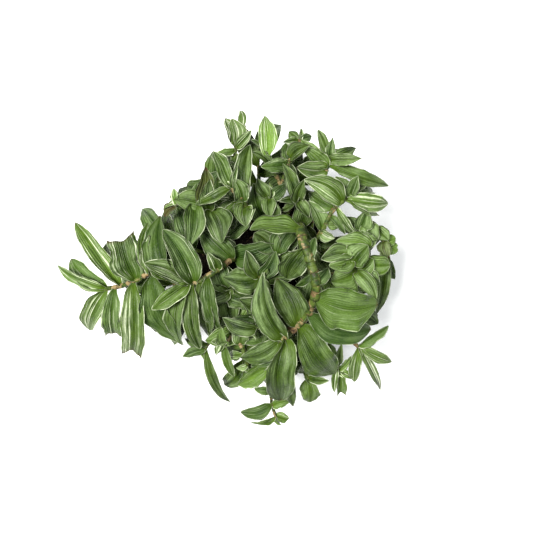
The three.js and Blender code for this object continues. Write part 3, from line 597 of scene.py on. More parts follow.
class Skin:
    """Collects grids of points, in millimetres, with their attributes, into one mesh."""

    def __init__(self):
        self.points, self.faces, self.values, self.count = [], [], {}, 0

    def add(self, points, faces, **values):
        points = np.asarray(points, float).reshape(-1, 3)
        self.points.append(points)
        self.faces.append(np.asarray(faces, int).reshape(-1, 4) + self.count)
        for name, value in values.items():
            width = 1 if np.ndim(value) < 2 else np.shape(value)[-1]
            rows = np.asarray(value, float).reshape(-1, width)
            self.values.setdefault(name, []).append(np.broadcast_to(rows, (len(points), width)))
        self.count += len(points)

    def piece(self, name, material, slot, nodes=(), flat=False):
        """The mesh as an object of that name, which rides on the body and replaces the nodes."""
        mesh = bpy.data.meshes.new(name)
        points = np.concatenate(self.points) * MM
        faces = np.concatenate(self.faces).tolist()
        faces = [row[:3] if row[2] == row[3] else row for row in faces]
        mesh.from_pydata(points.tolist(), [], faces)
        for key, values in self.values.items():
            values = np.concatenate(values)
            kind = "FLOAT" if values.shape[1] == 1 else "FLOAT_VECTOR"
            field = "value" if kind == "FLOAT" else "vector"
            mesh.attributes.new(key, kind, "POINT").data.foreach_set(field, values.ravel())
        if not flat:
            mesh.shade_smooth()
        mesh.materials.append(material)
        piece = put(name, mesh)
        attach(piece, BODY)
        if nodes:
            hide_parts(*nodes)
        return piece


def grid_faces(rows, columns, closed=False, flip=False):
    """The quads of a grid of points. closed joins its last column to its first."""
    steps = columns if closed else columns - 1
    i, k = np.meshgrid(np.arange(rows - 1) * columns, np.arange(steps), indexing="ij")
    k2 = (k + 1) % columns
    quads = [i + k, i + k2, i + columns + k2, i + columns + k]
    return np.stack(quads[::-1] if flip else quads, -1).reshape(-1, 4)


def tube_faces(rows, sides, flip=False):
    """The faces of a tube of rings, with its two ends closed by fans onto their first point."""
    k = np.arange(1, sides - 1)
    near, far = (k, k + 1) if flip else (k + 1, k)
    first = np.stack([0 * k, near, far, far], -1)
    last = np.stack([0 * k, far, near, near], -1) + (rows - 1) * sides
    return np.concatenate([grid_faces(rows, sides, closed=True, flip=flip), first, last])


# ---- Leaf blades ----

BLADE_ROWS = 32
ROW_CROWDING = 0.9
WIDE_LEAF = 15
WIDE_COLUMNS = 41
SLIM_COLUMNS = 17

# Millimetres. Leaves from the width KEEL_LEAF on have the full keel under their midrib.
BLADE_MIDDLE = 0.55
BLADE_EDGE = 0.22
KEEL = 0.45
KEEL_LEAF = 20
LEAST_HALF = 0.12
PLEAT_DEPTH = 0.29
PLEAT_SPACING = 4.6

# Shares of the blade's length.
SWAY = 0.12
DROOP = 0.15
CLASP_REACH = 0.11
CUP_REACH = 0.16
TORN_DEPTH = 0.12

# Shares of its width, or factors.
BLADE_SPREAD = 1.1
CLASP = 0.95
KEEL_WIDTH = 0.1
GUTTER = 1.3
CUP = 0.9
EDGE_WANDER = 0.07
RIPPLE = 0.13
CURL = 1.3
CURL_START = 0.45
TWIST = 1.6
TORN_WIDTH = 0.92
BROWN_TIPS = 0.35

# The blades and stems stay this far inside the frame's own box.
ROOM_MARGIN = 0.3
ROOM_LOW = np.array(cad_box[0]) / MM + ROOM_MARGIN
ROOM_HIGH = np.array(cad_box[1]) / MM - ROOM_MARGIN


def kept_in_room(points):
    """The points, drawn in where they would leave the room."""
    return np.clip(points, ROOM_LOW, ROOM_HIGH)


def blade_outline(t, strap):
    """Half the width at t, as a share of the greatest, from an oval to a strap with a short tip."""
    fullness = OUTLINE_FULLNESS + 0.3 * smooth(0.6, 1, t)
    oval = np.sin(np.pi * np.clip(t, 0, 1) ** OUTLINE_LEAN) ** fullness
    band = np.sin(np.pi / 2 * np.clip(t / 0.34, 0, 1)) ** 0.55
    band *= np.clip(1 - np.clip((t - 0.5) / 0.5, 0, 1) ** 2.4, 0, 1) ** 0.7
    return oval + (band - oval) * strap


def blade_grid(leaf, torn):
    """Each point's share of the blade's length, and its place across it from -1 to 1."""
    columns = WIDE_COLUMNS if leaf.width > WIDE_LEAF else SLIM_COLUMNS
    u = np.linspace(-1, 1, columns)[None, :]
    t = (np.linspace(0, 1, BLADE_ROWS) ** ROW_CROWDING)[:, None]
    if torn:
        bite = TORN_DEPTH * (1 - np.abs(u) ** 3) + 0.02 * np.sin(6 * u + leaf.phase)
        t = t * (1 - bite)
    return np.broadcast_arrays(t, u)


def blade_half(leaf, t, u, broad, clasp_radius, strap, torn, rippled):
    """Half the blade's width at each point, with a wandering edge and a base that clasps the stem."""
    half = broad * blade_outline(t * (leaf.cut if torn else 1), strap) * math.sqrt(leaf.drawn)
    edge_turn = 7 + 5 * scatter(leaf.seed + 0.91)
    wander = np.sin(edge_turn * t + 6 * scatter(leaf.seed + 0.92) + 2 * np.sign(u))
    half = half * (1 + EDGE_WANDER * rippled * wander)
    if torn:
        half = np.maximum(half, broad * TORN_WIDTH * smooth(0.1, 0.5, t))
    clasp = clasp_radius * CLASP * np.clip(1 - t / CLASP_REACH, 0, 1) ** 0.6
    return np.sqrt(half ** 2 + clasp ** 2) + LEAST_HALF


def blade_height(leaf, t, u, half, rippled):
    """How far each point stands above the flat: a gutter, waves, ripples, curled edges and pleats."""
    seed, a = leaf.seed, np.abs(u)
    wave = leaf.wave * np.sin(3 * np.pi * t + leaf.phase + np.sign(u)) * a
    turns = 11 + 6 * scatter(seed + 0.6)
    sweep = turns * t + 2.2 * np.sign(u) + 6 * scatter(seed + 0.63)
    ripple = RIPPLE * (np.sin(sweep) + 0.45 * np.sin(2.3 * sweep + seed)) * a ** 2.2
    ripple *= smooth(0.05, 0.3, t) * (0.3 + 1.2 * scatter(seed + 0.64) ** 2) * rippled
    curl = CURL * (scatter(seed + 0.67) - 0.5) * np.clip(a - CURL_START, 0, 1) ** 1.6
    fold = a ** 1.15 + 0.25 * np.sqrt(a + 0.01) * (1 - t)
    gutter = GUTTER * math.tan(leaf.fold) * fold + wave + ripple + curl
    gutter += CUP * np.clip(1 - t / CUP_REACH, 0, 1) * a ** 2
    lane = a * half / PLEAT_SPACING + 0.25 * np.sin(5 * t + seed) + 0.1 * np.sin(17 * t + 3 * a)
    pleats = np.cos(2 * np.pi * lane + seed) * np.clip(np.sin(np.pi * t), 0, 1) ** 0.7
    return half * gutter + PLEAT_DEPTH * pleats * smooth(0.05, 0.25, a)


def blade_brown(leaf, t, a, torn, withered):
    """How brown each point is: at a torn end, on a withered leaf, or at some tips."""
    if torn:
        last = t / t.max(axis=0, keepdims=True)
        return smooth(0.92, 0.99, last) * (0.35 + 0.65 * a ** 2)
    if withered > 0:
        return np.maximum(withered, smooth(0.8, 0.95, t))
    return smooth(0.955, 1, t) * (scatter(leaf.seed + 0.71) < BROWN_TIPS)


def sheet_faces(rows, columns):
    """The faces of a closed sheet: its upper grid, its lower grid and the wall round its edge."""
    upper = grid_faces(rows, columns)
    count = rows * columns
    edge = [i * columns for i in range(rows)]
    edge += [(rows - 1) * columns + k for k in range(1, columns)]
    edge += [i * columns + columns - 1 for i in range(rows - 2, -1, -1)]
    edge += list(range(columns - 2, 0, -1))
    pairs = zip(edge, edge[1:] + edge[:1])
    wall = [(after, before, before + count, after + count) for before, after in pairs]
    return np.concatenate([upper, upper[:, ::-1] + count, np.array(wall)])


def add_blade(
    skin, leaf, clasp_radius, look, strap,
    torn=False, spread=BLADE_SPREAD, rippled=1.0, withered=0.0,
):
    """One leaf as a thin closed blade, which droops, sways and twists along its midrib."""
    seed = leaf.seed
    t, u = blade_grid(leaf, torn)
    a = np.abs(u)
    broad = leaf.width / 2 * spread
    half = blade_half(leaf, t, u, broad, clasp_radius, strap, torn, rippled)
    height = blade_height(leaf, t, u, half, rippled)
    sway = leaf.length * SWAY * (2 * scatter(seed + 0.61) - 1) * np.sin(np.pi * t)
    droop = DROOP * leaf.length * scatter(seed + 0.62) * smooth(0.45, 1.2, t) * (not torn)
    mid = leaf.midrib(t) + leaf.side * sway[..., None] - UP * droop[..., None]
    twist = TWIST * (scatter(seed + 0.66) - 0.5) * (t - 0.4)
    across = leaf.side * np.cos(twist)[..., None] + leaf.normal * np.sin(twist)[..., None]
    upward = leaf.normal * np.cos(twist)[..., None] - leaf.side * np.sin(twist)[..., None]
    top = kept_in_room(mid + across * (u * half)[..., None] + upward * height[..., None])
    facing = unit(np.cross(np.gradient(top, axis=0), np.gradient(top, axis=1)))
    facing *= np.sign(np.sum(facing * leaf.normal, axis=-1, keepdims=True))
    keel = KEEL * np.exp(-(a / KEEL_WIDTH) ** 2) * (1 - t) * min(1, leaf.width / KEEL_LEAF)
    depth = BLADE_EDGE + (BLADE_MIDDLE - BLADE_EDGE) * (1 - a ** 2) * (1 - 0.5 * t) + keel
    bottom = kept_in_room(top - facing * depth[..., None])

    def on_both_sides(*values):
        rows = np.stack(np.broadcast_arrays(*values), -1).reshape(-1, len(values))
        return np.concatenate([rows, rows])

    skin.add(
        np.stack([top, bottom]), sheet_faces(*t.shape),
        leaf_place=on_both_sides(u, t, scatter(seed + 0.77)),
        leaf_size=on_both_sides(u * broad, t * leaf.length, half * (1 - a)),
        leaf_look=[look],
        leaf_brown=on_both_sides(blade_brown(leaf, t, a, torn, withered)),
        leaf_under=np.repeat([0, 1], t.size),
    )


# How the leaves of a shoot look: the share of cream stripes, of silver, of lime green, and of
# the strap shape.
LOOKS = {
    "crown": (0.1, 0.3, 0, 0.45), "left_runner": (0.75, 0.2, 0.15, 0.8),
    "top_left": (0.8, 0.4, 0.1, 0.4), "top": (0.35, 0.5, 0, 0.3), "top_right": (0.3, 0.7, 0.1, 0.2),
    "upper_left": (0.5, 0.35, 0.05, 0.6), "left_upper": (0.3, 0.5, 0, 0.4),
    "right_upper": (0.55, 0.6, 0.1, 0.3), "right_mid": (0.28, 1, 0.25, 0.55),
    "far_right": (0.3, 0.9, 0.1, 0.4), "front_left": (0.45, 0.5, 0.25, 0.4),
    "front_trail": (0.7, 0.3, 0.2, 0.6), "right_low": (0.75, 0.5, 0.2, 0.4),
    "right_bottom": (0.55, 0.5, 0.25, 0.5), "front_right": (0.45, 0.6, 0.2, 0.4),
}
PLAIN_LOOK = (0.15, 0.4, 0.0, 0.3)

# Single leaves that look otherwise, by their shoot and their number in it.
LEAF_LOOKS = {
    "top": {0: (1, 0.3, 0.75, 0.35)},
    "crown": {
        0: (0.35, 0.3, 0.35, 0.6), 1: (0.15, 0.75, 0, 0.1), 2: (0.15, 0.6, 0.05, 0.9),
        3: (0.08, 0.15, 0, 0.55), 4: (0.05, 0.2, 0, 0.7), 5: (0.05, 0.35, 0, 0.7),
        8: (0.2, 0.4, 0.3, 0.8),
    },
    "right_upper": {0: (0.85, 0.6, 0.45, 0.5), 1: (0.6, 0.7, 0.4, 0.4), 2: (0.7, 0.6, 0.1, 0.3)},
    "top_left": {1: (0.9, 0.5, 0.15, 0.7)},
    "left_runner": {
        0: (0.75, 0.4, 0, 0.6), 1: (0.1, 0.25, 0, 0.4), 2: (0.7, 0.3, 0.1, 0.9),
        3: (0.75, 0.2, 0.1, 0.8), 4: (0.9, 0.3, 0.2, 0.8), 5: (0.8, 0.4, 0.2, 0.7),
        6: (0.7, 0.3, 0.2, 1), 7: (0.6, 0.4, 0.2, 0.5), 8: (0.7, 0.3, 0.1, 0.8), 10: (0.4, 0.2, 0, 0.9),
        11: (0.5, 0.2, 0, 0.9), 12: (0.45, 0.2, 0, 0.9), 13: (0.3, 0.2, 0, 0.9), 14: (0.6, 0.4, 0, 0.6),
        16: (0.05, 0.2, 0, 0.3), 19: (0.1, 0.2, 0, 0.4), 20: (0.25, 0.4, 0, 0.5),
    },
    "upper_left": {0: (0.6, 0.5, 0, 0.7), 1: (0.85, 0.4, 0, 0.6)},
    "left_upper": {3: (0.1, 0.2, 0, 0.2), 5: (1, 0.8, 1, 0.5)},
    "far_right": {3: (0.1, 0.3, 0.6, 0.6), 4: (0.15, 0.3, 0.7, 0.6)},
}

# Broader and narrower blades, brown leaves, and leaves with a more rippled margin.
SHOOT_SPREAD = {"right_mid": 1.3, "far_right": 1.25, "front_trail": 1.3}
LEAF_SPREAD = {("top", 0): 0.95, ("upper_left", 1): 0.85, ("left_upper", 5): 1.7}
WITHERED_LEAVES = {("left_upper", 3): 0.35, ("left_upper", 6): 0.6, ("far_right", 5): 0.3}
RIPPLED_LEAVES = {
    ("crown", 8): 3.0, ("left_runner", 8): 1.8, ("left_runner", 3): 1.8, ("crown", 3): 1.6,
}

# Leaves whose blunt end is round, not torn.
WHOLE_LEAVES = {("left_runner", 6)}


def look_of(name, leaf):
    """The shares of cream, silver and lime, and that of the strap shape, of one leaf."""
    own = LEAF_LOOKS.get(name, {}).get(leaf.number)
    if own:
        return own[:3], own[3]
    stripe, silver, lime, strap = LOOKS.get(name, PLAIN_LOOK)
    stripe = stripe * (0.55 + 0.75 * scatter(leaf.seed + 0.81))
    silver = silver * (0.5 + 0.9 * scatter(leaf.seed + 0.82))
    lime = lime * 2 * scatter(leaf.seed + 0.83)
    strap = strap * (0.6 + 0.6 * scatter(leaf.seed + 0.84))
    return (min(stripe, 1), min(silver, 1), min(lime, 1)), min(strap, 1)


# ---- Stems, sheaths and buds ----

STEM_SIDES = 14
FINE_SPLITS = 399
SHEATH_ROWS = 7
SHEATH_SIDES = 16

# Millimetres.
STEM_ROW = 0.9
TIP_ROUND = 2
NODE_LENGTH = 1.5
NODE_SPACING = 15
NODE_CLEARANCE = 7
GROOVE_PLACE = 1.9
GROOVE_WIDTH = 0.7
LEAF_NEARNESS = 2.5
BARE_START = 8
SHEATH_LENGTH = 6.0
SHEATH_WALL = 0.28

# Shares and factors, most of them of the stem's radius.
STEM_FULLNESS = 1.22
STEM_ROOM = 1.45
TIP_TAPER = 0.16
NODE_SWELL = 0.045
GROOVE = 0.03
BARE_SHEATHS = 0.5
SHEATH_RING = 0.35

BUD_TURNS = (0.7, 2.6)
BUD_CLASP = 0.8
BUD_LOOK = (0.5, 0.2, 0.4)
BUD_STRAP = 0.2


def carried_frames(points):
    """Two directions across a line at each of its points, carried along it without twist."""
    tangents = unit(np.gradient(points, axis=0))
    rows = [unit(np.cross(tangents[0], [0.31, 0.87, 0.11]))]
    for tangent in tangents[1:]:
        rows.append(unit(rows[-1] - tangent * np.dot(rows[-1], tangent)))
    first = np.array(rows)
    return first, np.cross(tangents, first)


def lowered(centres, radius):
    """The line of a stem, kept low enough for its full thickness to stay in the room."""
    ceiling = ROOM_HIGH[2] - STEM_ROOM * radius
    return np.concatenate([centres[:, :2], np.minimum(centres[:, 2:], ceiling)], axis=1)


def ring_points(centres, first, second, radii, sides):
    """A ring of points round each centre."""
    angle = np.linspace(0, 2 * np.pi, sides, endpoint=False)[None, :, None]
    spokes = first[:, None] * np.cos(angle) + second[:, None] * np.sin(angle)
    return centres[:, None] + spokes * np.broadcast_to(radii, (len(centres), sides))[..., None]


def node_places(stem, leaves):
    """How far along the stem its nodes are: where leaves grow, and evenly where it is bare."""
    length = stem.line.length
    fine = stem.line.at(np.linspace(0, 1, FINE_SPLITS + 1))
    places = []
    for leaf in leaves:
        away = np.linalg.norm(fine - leaf.base, axis=1)
        if away.min() < LEAF_NEARNESS:
            places.append(away.argmin() / FINE_SPLITS * length)
    kept = []
    for where in sorted(places):
        if not kept or where - kept[-1] > NODE_CLEARANCE:
            kept.append(where)
    bounds = [0, *kept, length]
    bare = []
    for low, high in zip(bounds, bounds[1:]):
        count = int((high - low) / NODE_SPACING)
        bare += [low + (high - low) * (k + 1) / (count + 1) for k in range(count)]
    return kept, [where for where in bare if where > BARE_START]


def add_stem(skin, stem, radius, leaves):
    """A round jointed stem, thinner to its tip, with swollen nodes. Gives its leafy nodes."""
    length = stem.line.length
    rows = max(12, int(length / STEM_ROW))
    along = np.linspace(0, length, rows)
    centres = lowered(stem.line.at(along / length), radius)
    leafy, bare = node_places(stem, leaves)
    nodes = np.array(sorted(leafy + bare) or [length])
    offset = along[:, None] - nodes[None, :]
    swell = np.exp(-(offset / NODE_LENGTH) ** 2).sum(axis=1)
    groove = np.exp(-((offset - GROOVE_PLACE) / GROOVE_WIDTH) ** 2).sum(axis=1)
    taper = 1 - TIP_TAPER * (along / length) ** 2
    radii = STEM_FULLNESS * radius * taper * (1 + NODE_SWELL * swell - GROOVE * groove)
    tip = np.sqrt(np.clip((length - along) / TIP_ROUND, 0.05, 1))
    radii *= np.where(along > length - TIP_ROUND, tip, 1)
    points = ring_points(centres, *carried_frames(centres), radii[:, None], STEM_SIDES)
    ring = np.repeat(np.clip(swell, 0, 1), STEM_SIDES)
    skin.add(points, tube_faces(rows, STEM_SIDES, flip=True), stem_ring=ring, stem_dry=0.0)
    return leafy, bare


def add_sheath(skin, stem, where, radius, dry, seed):
    """The papery tube that a leaf's base wraps round its stem, open and ragged at the mouth."""
    length = stem.line.length
    start = max(0.5, where - SHEATH_LENGTH * (0.8 + 0.4 * scatter(seed)))
    along = np.linspace(start, where + 0.6, SHEATH_ROWS)
    centres = lowered(stem.line.at(np.clip(along / length, 0, 1)), radius)
    frames = carried_frames(centres)
    taper = 1 - TIP_TAPER * (where / length) ** 2
    share = np.linspace(0, 1, SHEATH_ROWS)[:, None]
    angle = np.linspace(0, 2 * np.pi, SHEATH_SIDES, endpoint=False)[None, :]
    ragged = 0.25 * np.sin(3 * angle + seed) * share ** 3
    outer = STEM_FULLNESS * radius * taper * (1.02 + 0.07 * share + 0.1 * ragged) + 0.25
    axis = unit(np.gradient(centres, axis=0))
    mouth = 1.6 * ragged + 0.5 * share ** 2 * np.cos(angle + 2 * seed)
    mouth = axis[:, None] * mouth[..., None]
    out = ring_points(centres, *frames, outer, SHEATH_SIDES) + mouth
    back = ring_points(centres, *frames, outer - SHEATH_WALL, SHEATH_SIDES) + mouth
    faces = grid_faces(2 * SHEATH_ROWS, SHEATH_SIDES, closed=True, flip=True)
    k = np.arange(SHEATH_SIDES)
    k2 = (k + 1) % SHEATH_SIDES
    last = (2 * SHEATH_ROWS - 1) * SHEATH_SIDES
    closing = np.stack([last + k2, k2, k, last + k], -1)
    skin.add(
        np.concatenate([out, back[::-1]]), np.concatenate([faces, closing]),
        stem_ring=SHEATH_RING, stem_dry=float(dry),
    )


def bud_leaf(stem, seed, turn):
    """A small folded leaf at the tip of a stem."""
    tip = stem.line.at([0.97, 1.0])
    heading = unit(tip[1] - tip[0])
    level = unit(np.cross(UP, heading) + 1e-6)
    heading = unit(heading + 0.5 * level * math.sin(turn) + UP * 0.3 * math.cos(turn))
    base = tip[1] - heading * 1.5
    own = {"fold": 0.8, "arch": 0.05, "roll": turn, "wave": 0.02, "phase": seed}
    length, width = 9 + 6 * scatter(seed + 0.3), 3.2 + 2 * scatter(seed)
    leaf = Leaf(seed, None, base, base + heading * length, width, own)
    leaf.bend(0, 0, 1)
    return leaf


def make_shoots(shoots, leaf_finish, stem_finish):
    """Each shoot as two pieces, its blades and its stems with their sheaths."""
    for index, shoot in enumerate(shoots):
        name, radius = shoot.name, shoot.radius
        blades, wood = Skin(), Skin()
        for leaf in shoot.leaves:
            key = (name, leaf.number)
            add_blade(
                blades, leaf, radius, *look_of(name, leaf),
                torn=leaf.cut < 1 and key not in WHOLE_LEAVES,
                spread=LEAF_SPREAD.get(key, SHOOT_SPREAD.get(name, BLADE_SPREAD)),
                rippled=RIPPLED_LEAVES.get(key, 1.0),
                withered=WITHERED_LEAVES.get(key, 0.0),
            )
        for k, stem in enumerate(shoot.stems):
            leafy, bare = add_stem(wood, stem, radius, shoot.leaves)
            for n, where in enumerate(leafy + bare):
                seed = 900 + index * 37 + k * 11 + n
                is_bare = n >= len(leafy)
                if is_bare and scatter(seed + 0.5) < BARE_SHEATHS:
                    continue
                dry = 0.4 + 0.6 * scatter(seed) if is_bare else 0.4 * scatter(seed) ** 3
                add_sheath(wood, stem, where, radius, dry, seed)
            for turn in BUD_TURNS:
                seed = 2000 + index * 10 + k * 3 + turn
                add_blade(blades, bud_leaf(stem, seed, turn), BUD_CLASP, BUD_LOOK, BUD_STRAP)
        blades.piece(f"leaves_{name}", leaf_finish, "foliage", [shoot.node])
        wood.piece(f"stems_{name}", stem_finish, "foliage", [shoot.node])


# ---- Soil ----

SOIL_RING_STEPS = 60
SOIL_SIDES = 150
SOIL_WALL_RINGS = 12
HUB_RADIUS = 0.4
BITS = 620
BITS_SEED = 7
BITS_MARGIN = 4


def wall_radius(z):
    """The outer radius of the pot's wall."""
    return POT_BASE_RADIUS + (POT_RIM_RADIUS - RIM_BAND_STEP - POT_BASE_RADIUS) * z / POT_HEIGHT


def soil_height(x, y):
    """The height of the lumpy soil at x, y."""
    broad = 0.8 * np.sin(x / 7) * np.cos(y / 6)
    lumps = 0.55 * np.sin(x * 1.9 + 2 * np.sin(y * 0.9)) * np.sin(y * 1.7 + 2 * np.sin(x * 0.8))
    grains = 0.3 * np.sin(x * 5.1 + y * 2.3) * np.sin(y * 4.7 - x * 1.9)
    return SOIL_TOP + broad + lumps + grains


def make_soil(finish):
    """The soil as one closed body with a crumbly top, filling the pot below it."""
    def inside(z):
        return wall_radius(z) - POT_WALL - SEAT_GAP

    bottom = POT_FLOOR + SEAT_GAP
    angle = np.linspace(0, 2 * np.pi, SOIL_SIDES, endpoint=False)
    rings = [(HUB_RADIUS, bottom), (inside(bottom), bottom)]
    rings += [(inside(z), z) for z in np.linspace(bottom, SOIL_TOP, SOIL_WALL_RINGS)[1:-1]]
    top_radii = inside(SOIL_TOP) * np.linspace(1, 0, SOIL_RING_STEPS) ** 0.8
    rings += [(max(r, HUB_RADIUS), None) for r in top_radii]
    points = []
    for r, z in rings:
        x, y = r * np.cos(angle), r * np.sin(angle)
        height = soil_height(x, y) if z is None else np.full_like(x, z)
        points.append(np.stack([x, y, height], -1))
    skin = Skin()
    skin.add(np.array(points), tube_faces(len(rings), SOIL_SIDES))
    skin.piece("soil_body", finish, "soil", ["soil"])


def make_soil_bits(finish):
    """Bark, peat crumbs and withered scraps that lie on the soil."""
    lump = bmesh.new()
    bmesh.ops.create_icosphere(lump, subdivisions=1, radius=1)
    shape = np.array([v.co[:] for v in lump.verts])
    sides = np.array([[v.index for v in f.verts] for f in lump.faces])
    lump.free()
    faces = np.concatenate([sides, sides[:, 2:]], axis=1)
    draw = np.random.default_rng(BITS_SEED)
    reach = wall_radius(SOIL_TOP) - POT_WALL - BITS_MARGIN
    skin = Skin()
    for _ in range(BITS):
        r, bearing = reach * math.sqrt(draw.random()), draw.random() * 2 * math.pi
        x, y = r * math.cos(bearing), r * math.sin(bearing)
        size = [draw.uniform(1.0, 3.4), draw.uniform(0.8, 1.8), draw.uniform(0.4, 1.1)]
        points = shape * (1 + draw.uniform(-0.3, 0.3, (len(shape), 1))) * size
        points = turned(points, UP, draw.random() * 2 * math.pi)
        points = turned(points, unit(draw.normal(size=3)), draw.uniform(-0.5, 0.5))
        level = soil_height(x, y) + size[2] * 0.3
        skin.add(points + [x, y, level], faces, bit_tone=draw.random())
    skin.piece("soil_bits", finish, "soil", flat=True)


# ---- Pot ----

POT_TURNS = 160
RING_SPACING = 8
CORNER_RADIUS = 0.9
CORNER_STEPS = 4
AXIS_GAP = 0.3
FOOT_RISE = 1.2
FOOT_WIDTH = 8
LIP_HEIGHT = 2.4
LIP_STEP = 0.7
DRAIN_SIDES = 32
SHARP_ANGLE = 50


def rounded(profile):
    """The profile with each inner corner cut back and rounded by a small arc."""
    points = [np.array(p, float) for p in profile]
    out = [points[0]]
    for before, corner, after in zip(points, points[1:], points[2:]):
        a, b = before - corner, after - corner
        reach = min(CORNER_RADIUS, np.linalg.norm(a) * 0.4, np.linalg.norm(b) * 0.4)
        start, end = corner + unit(a) * reach, corner + unit(b) * reach
        for w in np.linspace(0, 1, CORNER_STEPS + 1):
            out.append((1 - w) ** 2 * start + 2 * w * (1 - w) * corner + w ** 2 * end)
    out.append(points[-1])
    return np.array(out)


def make_pot(finish):
    """The moulded pot: a tapered wall, the band under its rim, and a floor with drain holes."""
    band = POT_HEIGHT - RIM_BAND_HEIGHT
    inner_rim = POT_RIM_RADIUS - POT_WALL - RIM_BAND_STEP
    profile = rounded([
        (AXIS_GAP, FOOT_RISE),
        (POT_BASE_RADIUS - FOOT_WIDTH - 1, FOOT_RISE),
        (POT_BASE_RADIUS - FOOT_WIDTH, 0),
        (POT_BASE_RADIUS, 0),
        (wall_radius(band), band),
        (wall_radius(band) + RIM_BAND_STEP, band + RIM_BAND_STEP),
        (POT_RIM_RADIUS - LIP_STEP, POT_HEIGHT - LIP_HEIGHT - 0.8),
        (POT_RIM_RADIUS, POT_HEIGHT - LIP_HEIGHT),
        (POT_RIM_RADIUS, POT_HEIGHT),
        (inner_rim, POT_HEIGHT),
        (wall_radius(POT_FLOOR) - POT_WALL, POT_FLOOR),
        (AXIS_GAP, POT_FLOOR),
    ])
    angle = np.linspace(0, 2 * np.pi, POT_TURNS, endpoint=False)
    rings = []
    for (r, z), (r2, z2) in zip(profile, profile[1:]):
        count = max(1, int(math.hypot(r2 - r, z2 - z) / RING_SPACING))
        for k in range(count):
            w = k / count
            rings.append((r + (r2 - r) * w, z + (z2 - z) * w))
    rings.append(tuple(profile[-1]))
    circle = np.stack([np.cos(angle), np.sin(angle), 0 * angle], -1)
    points = [circle * r + UP * z for r, z in rings]
    skin = Skin()
    skin.add(np.array(points), tube_faces(len(rings), POT_TURNS))
    drill_drains(skin.piece("pot_shell", finish, "pot", ["pot"]))


def drill_drains(pot):
    """Cuts the round drain holes through the floor."""
    drill = bmesh.new()
    for i in range(DRAIN_HOLES):
        turn = 2 * math.pi * i / DRAIN_HOLES
        made = bmesh.ops.create_cone(
            drill, cap_ends=True, segments=DRAIN_SIDES, radius1=DRAIN_RADIUS * MM,
            radius2=DRAIN_RADIUS * MM, depth=3 * POT_FLOOR * MM,
        )
        centre = Vector((math.cos(turn), math.sin(turn), 0)) * DRAIN_RING_RADIUS * MM
        centre += Vector((0, 0, POT_FLOOR / 2 * MM))
        bmesh.ops.translate(drill, verts=made["verts"], vec=centre)
    mesh = bpy.data.meshes.new("drill")
    drill.to_mesh(mesh)
    drill.free()
    cutter = put("drill", mesh)
    cut = pot.modifiers.new("drains", "BOOLEAN")
    cut.operation, cut.solver, cut.object = "DIFFERENCE", "EXACT", cutter
    bpy.context.view_layer.update()
    settled = pot.evaluated_get(bpy.context.evaluated_depsgraph_get())
    shaped = bpy.data.meshes.new_from_object(settled)
    pot.modifiers.clear()
    pot.data = shaped
    shaped.set_sharp_from_angle(angle=math.radians(SHARP_ANGLE))
    bpy.data.objects.remove(cutter)


# ---- Finishes ----

def srgb(red, green, blue):
    """A colour given as 0 to 255 on a screen, as the renderer's linear light."""
    def light(value):
        value /= 255
        return value / 12.92 if value < 0.04045 else ((value + 0.055) / 1.055) ** 2.4
    return light(red), light(green), light(blue), 1.0


class Finish:
    """A node material. Most calls add a node and give its output socket."""

    def __init__(self, name, roughness, specular=0.5):
        self.material = bpy.data.materials.new(name)
        self.material.use_nodes = True
        self.tree = self.material.node_tree
        self.shader = self.tree.nodes["Principled BSDF"]
        self.finish("Roughness", roughness)
        self.finish("Specular IOR Level", specular)

    def feed(self, socket, value):
        if isinstance(value, bpy.types.NodeSocket):
            self.tree.links.new(value, socket)
        else:
            socket.default_value = value

    def finish(self, name, value):
        """Feeds one of the shader's own inputs."""
        self.feed(self.shader.inputs[name], value)

    def node(self, kind, inputs, output=0, **settings):
        node = self.tree.nodes.new(f"ShaderNode{kind}")
        for name, value in settings.items():
            setattr(node, name, value)
        for key, value in inputs.items():
            self.feed(node.inputs[key], value)
        return node.outputs[output]

    def position(self):
        return self.node("TexCoord", {}, "Object")

    def attribute(self, name, output="Fac"):
        return self.node("Attribute", {}, output, attribute_name=name)

    def split(self, vector):
        return self.node("SeparateXYZ", {0: vector}).node.outputs

    def join(self, x, y, z):
        return self.node("CombineXYZ", {0: x, 1: y, 2: z})

    def math(self, operation, a, b=0.0, clamp=False):
        return self.node("Math", {0: a, 1: b}, operation=operation, use_clamp=clamp)

    def times(self, a, b, clamp=False):
        return self.math("MULTIPLY", a, b, clamp)

    def plus(self, a, b):
        return self.math("ADD", a, b)

    def step(self, value, low, high, to_low=0.0, to_high=1.0):
        """A smooth step from to_low to to_high, where the value goes from low to high."""
        spans = {"From Min": low, "From Max": high, "To Min": to_low, "To Max": to_high}
        return self.node("MapRange", {"Value": value, **spans}, interpolation_type="SMOOTHSTEP")

    def noise(self, vector, scale=1.0, detail=2.0, roughness=0.5):
        form = {"Scale": scale, "Detail": detail, "Roughness": roughness}
        return self.node("TexNoise", {"Vector": vector, **form})

    def cells(self, vector, scale):
        return self.node("TexVoronoi", {"Vector": vector, "Scale": scale}, "Distance")

    def mix(self, share, a, b, blend="MIX"):
        """The colour that is a share of the way from a to b."""
        inputs = {0: share, 6: a, 7: b}
        return self.node("Mix", inputs, 2, data_type="RGBA", blend_type=blend)

    def shade(self, color, factor):
        """The colour made lighter or darker by a factor."""
        return self.mix(1.0, color, self.join(factor, factor, factor), "MULTIPLY")

    def bump(self, height, strength, distance):
        form = {"Strength": strength, "Distance": distance}
        self.finish("Normal", self.node("Bump", {"Height": height, **form}))


LEAF_DARK = srgb(30, 49, 6)
LEAF_MID = srgb(59, 81, 15)
LEAF_FRESH = srgb(70, 94, 14)
LEAF_SILVER = srgb(116, 138, 86)
LEAF_LIME = srgb(118, 154, 56)
LEAF_CREAM = srgb(218, 227, 192)
LEAF_COOL = srgb(46, 75, 28)
LEAF_UNDER = srgb(84, 102, 54)
LEAF_BROWN = srgb(66, 48, 27)


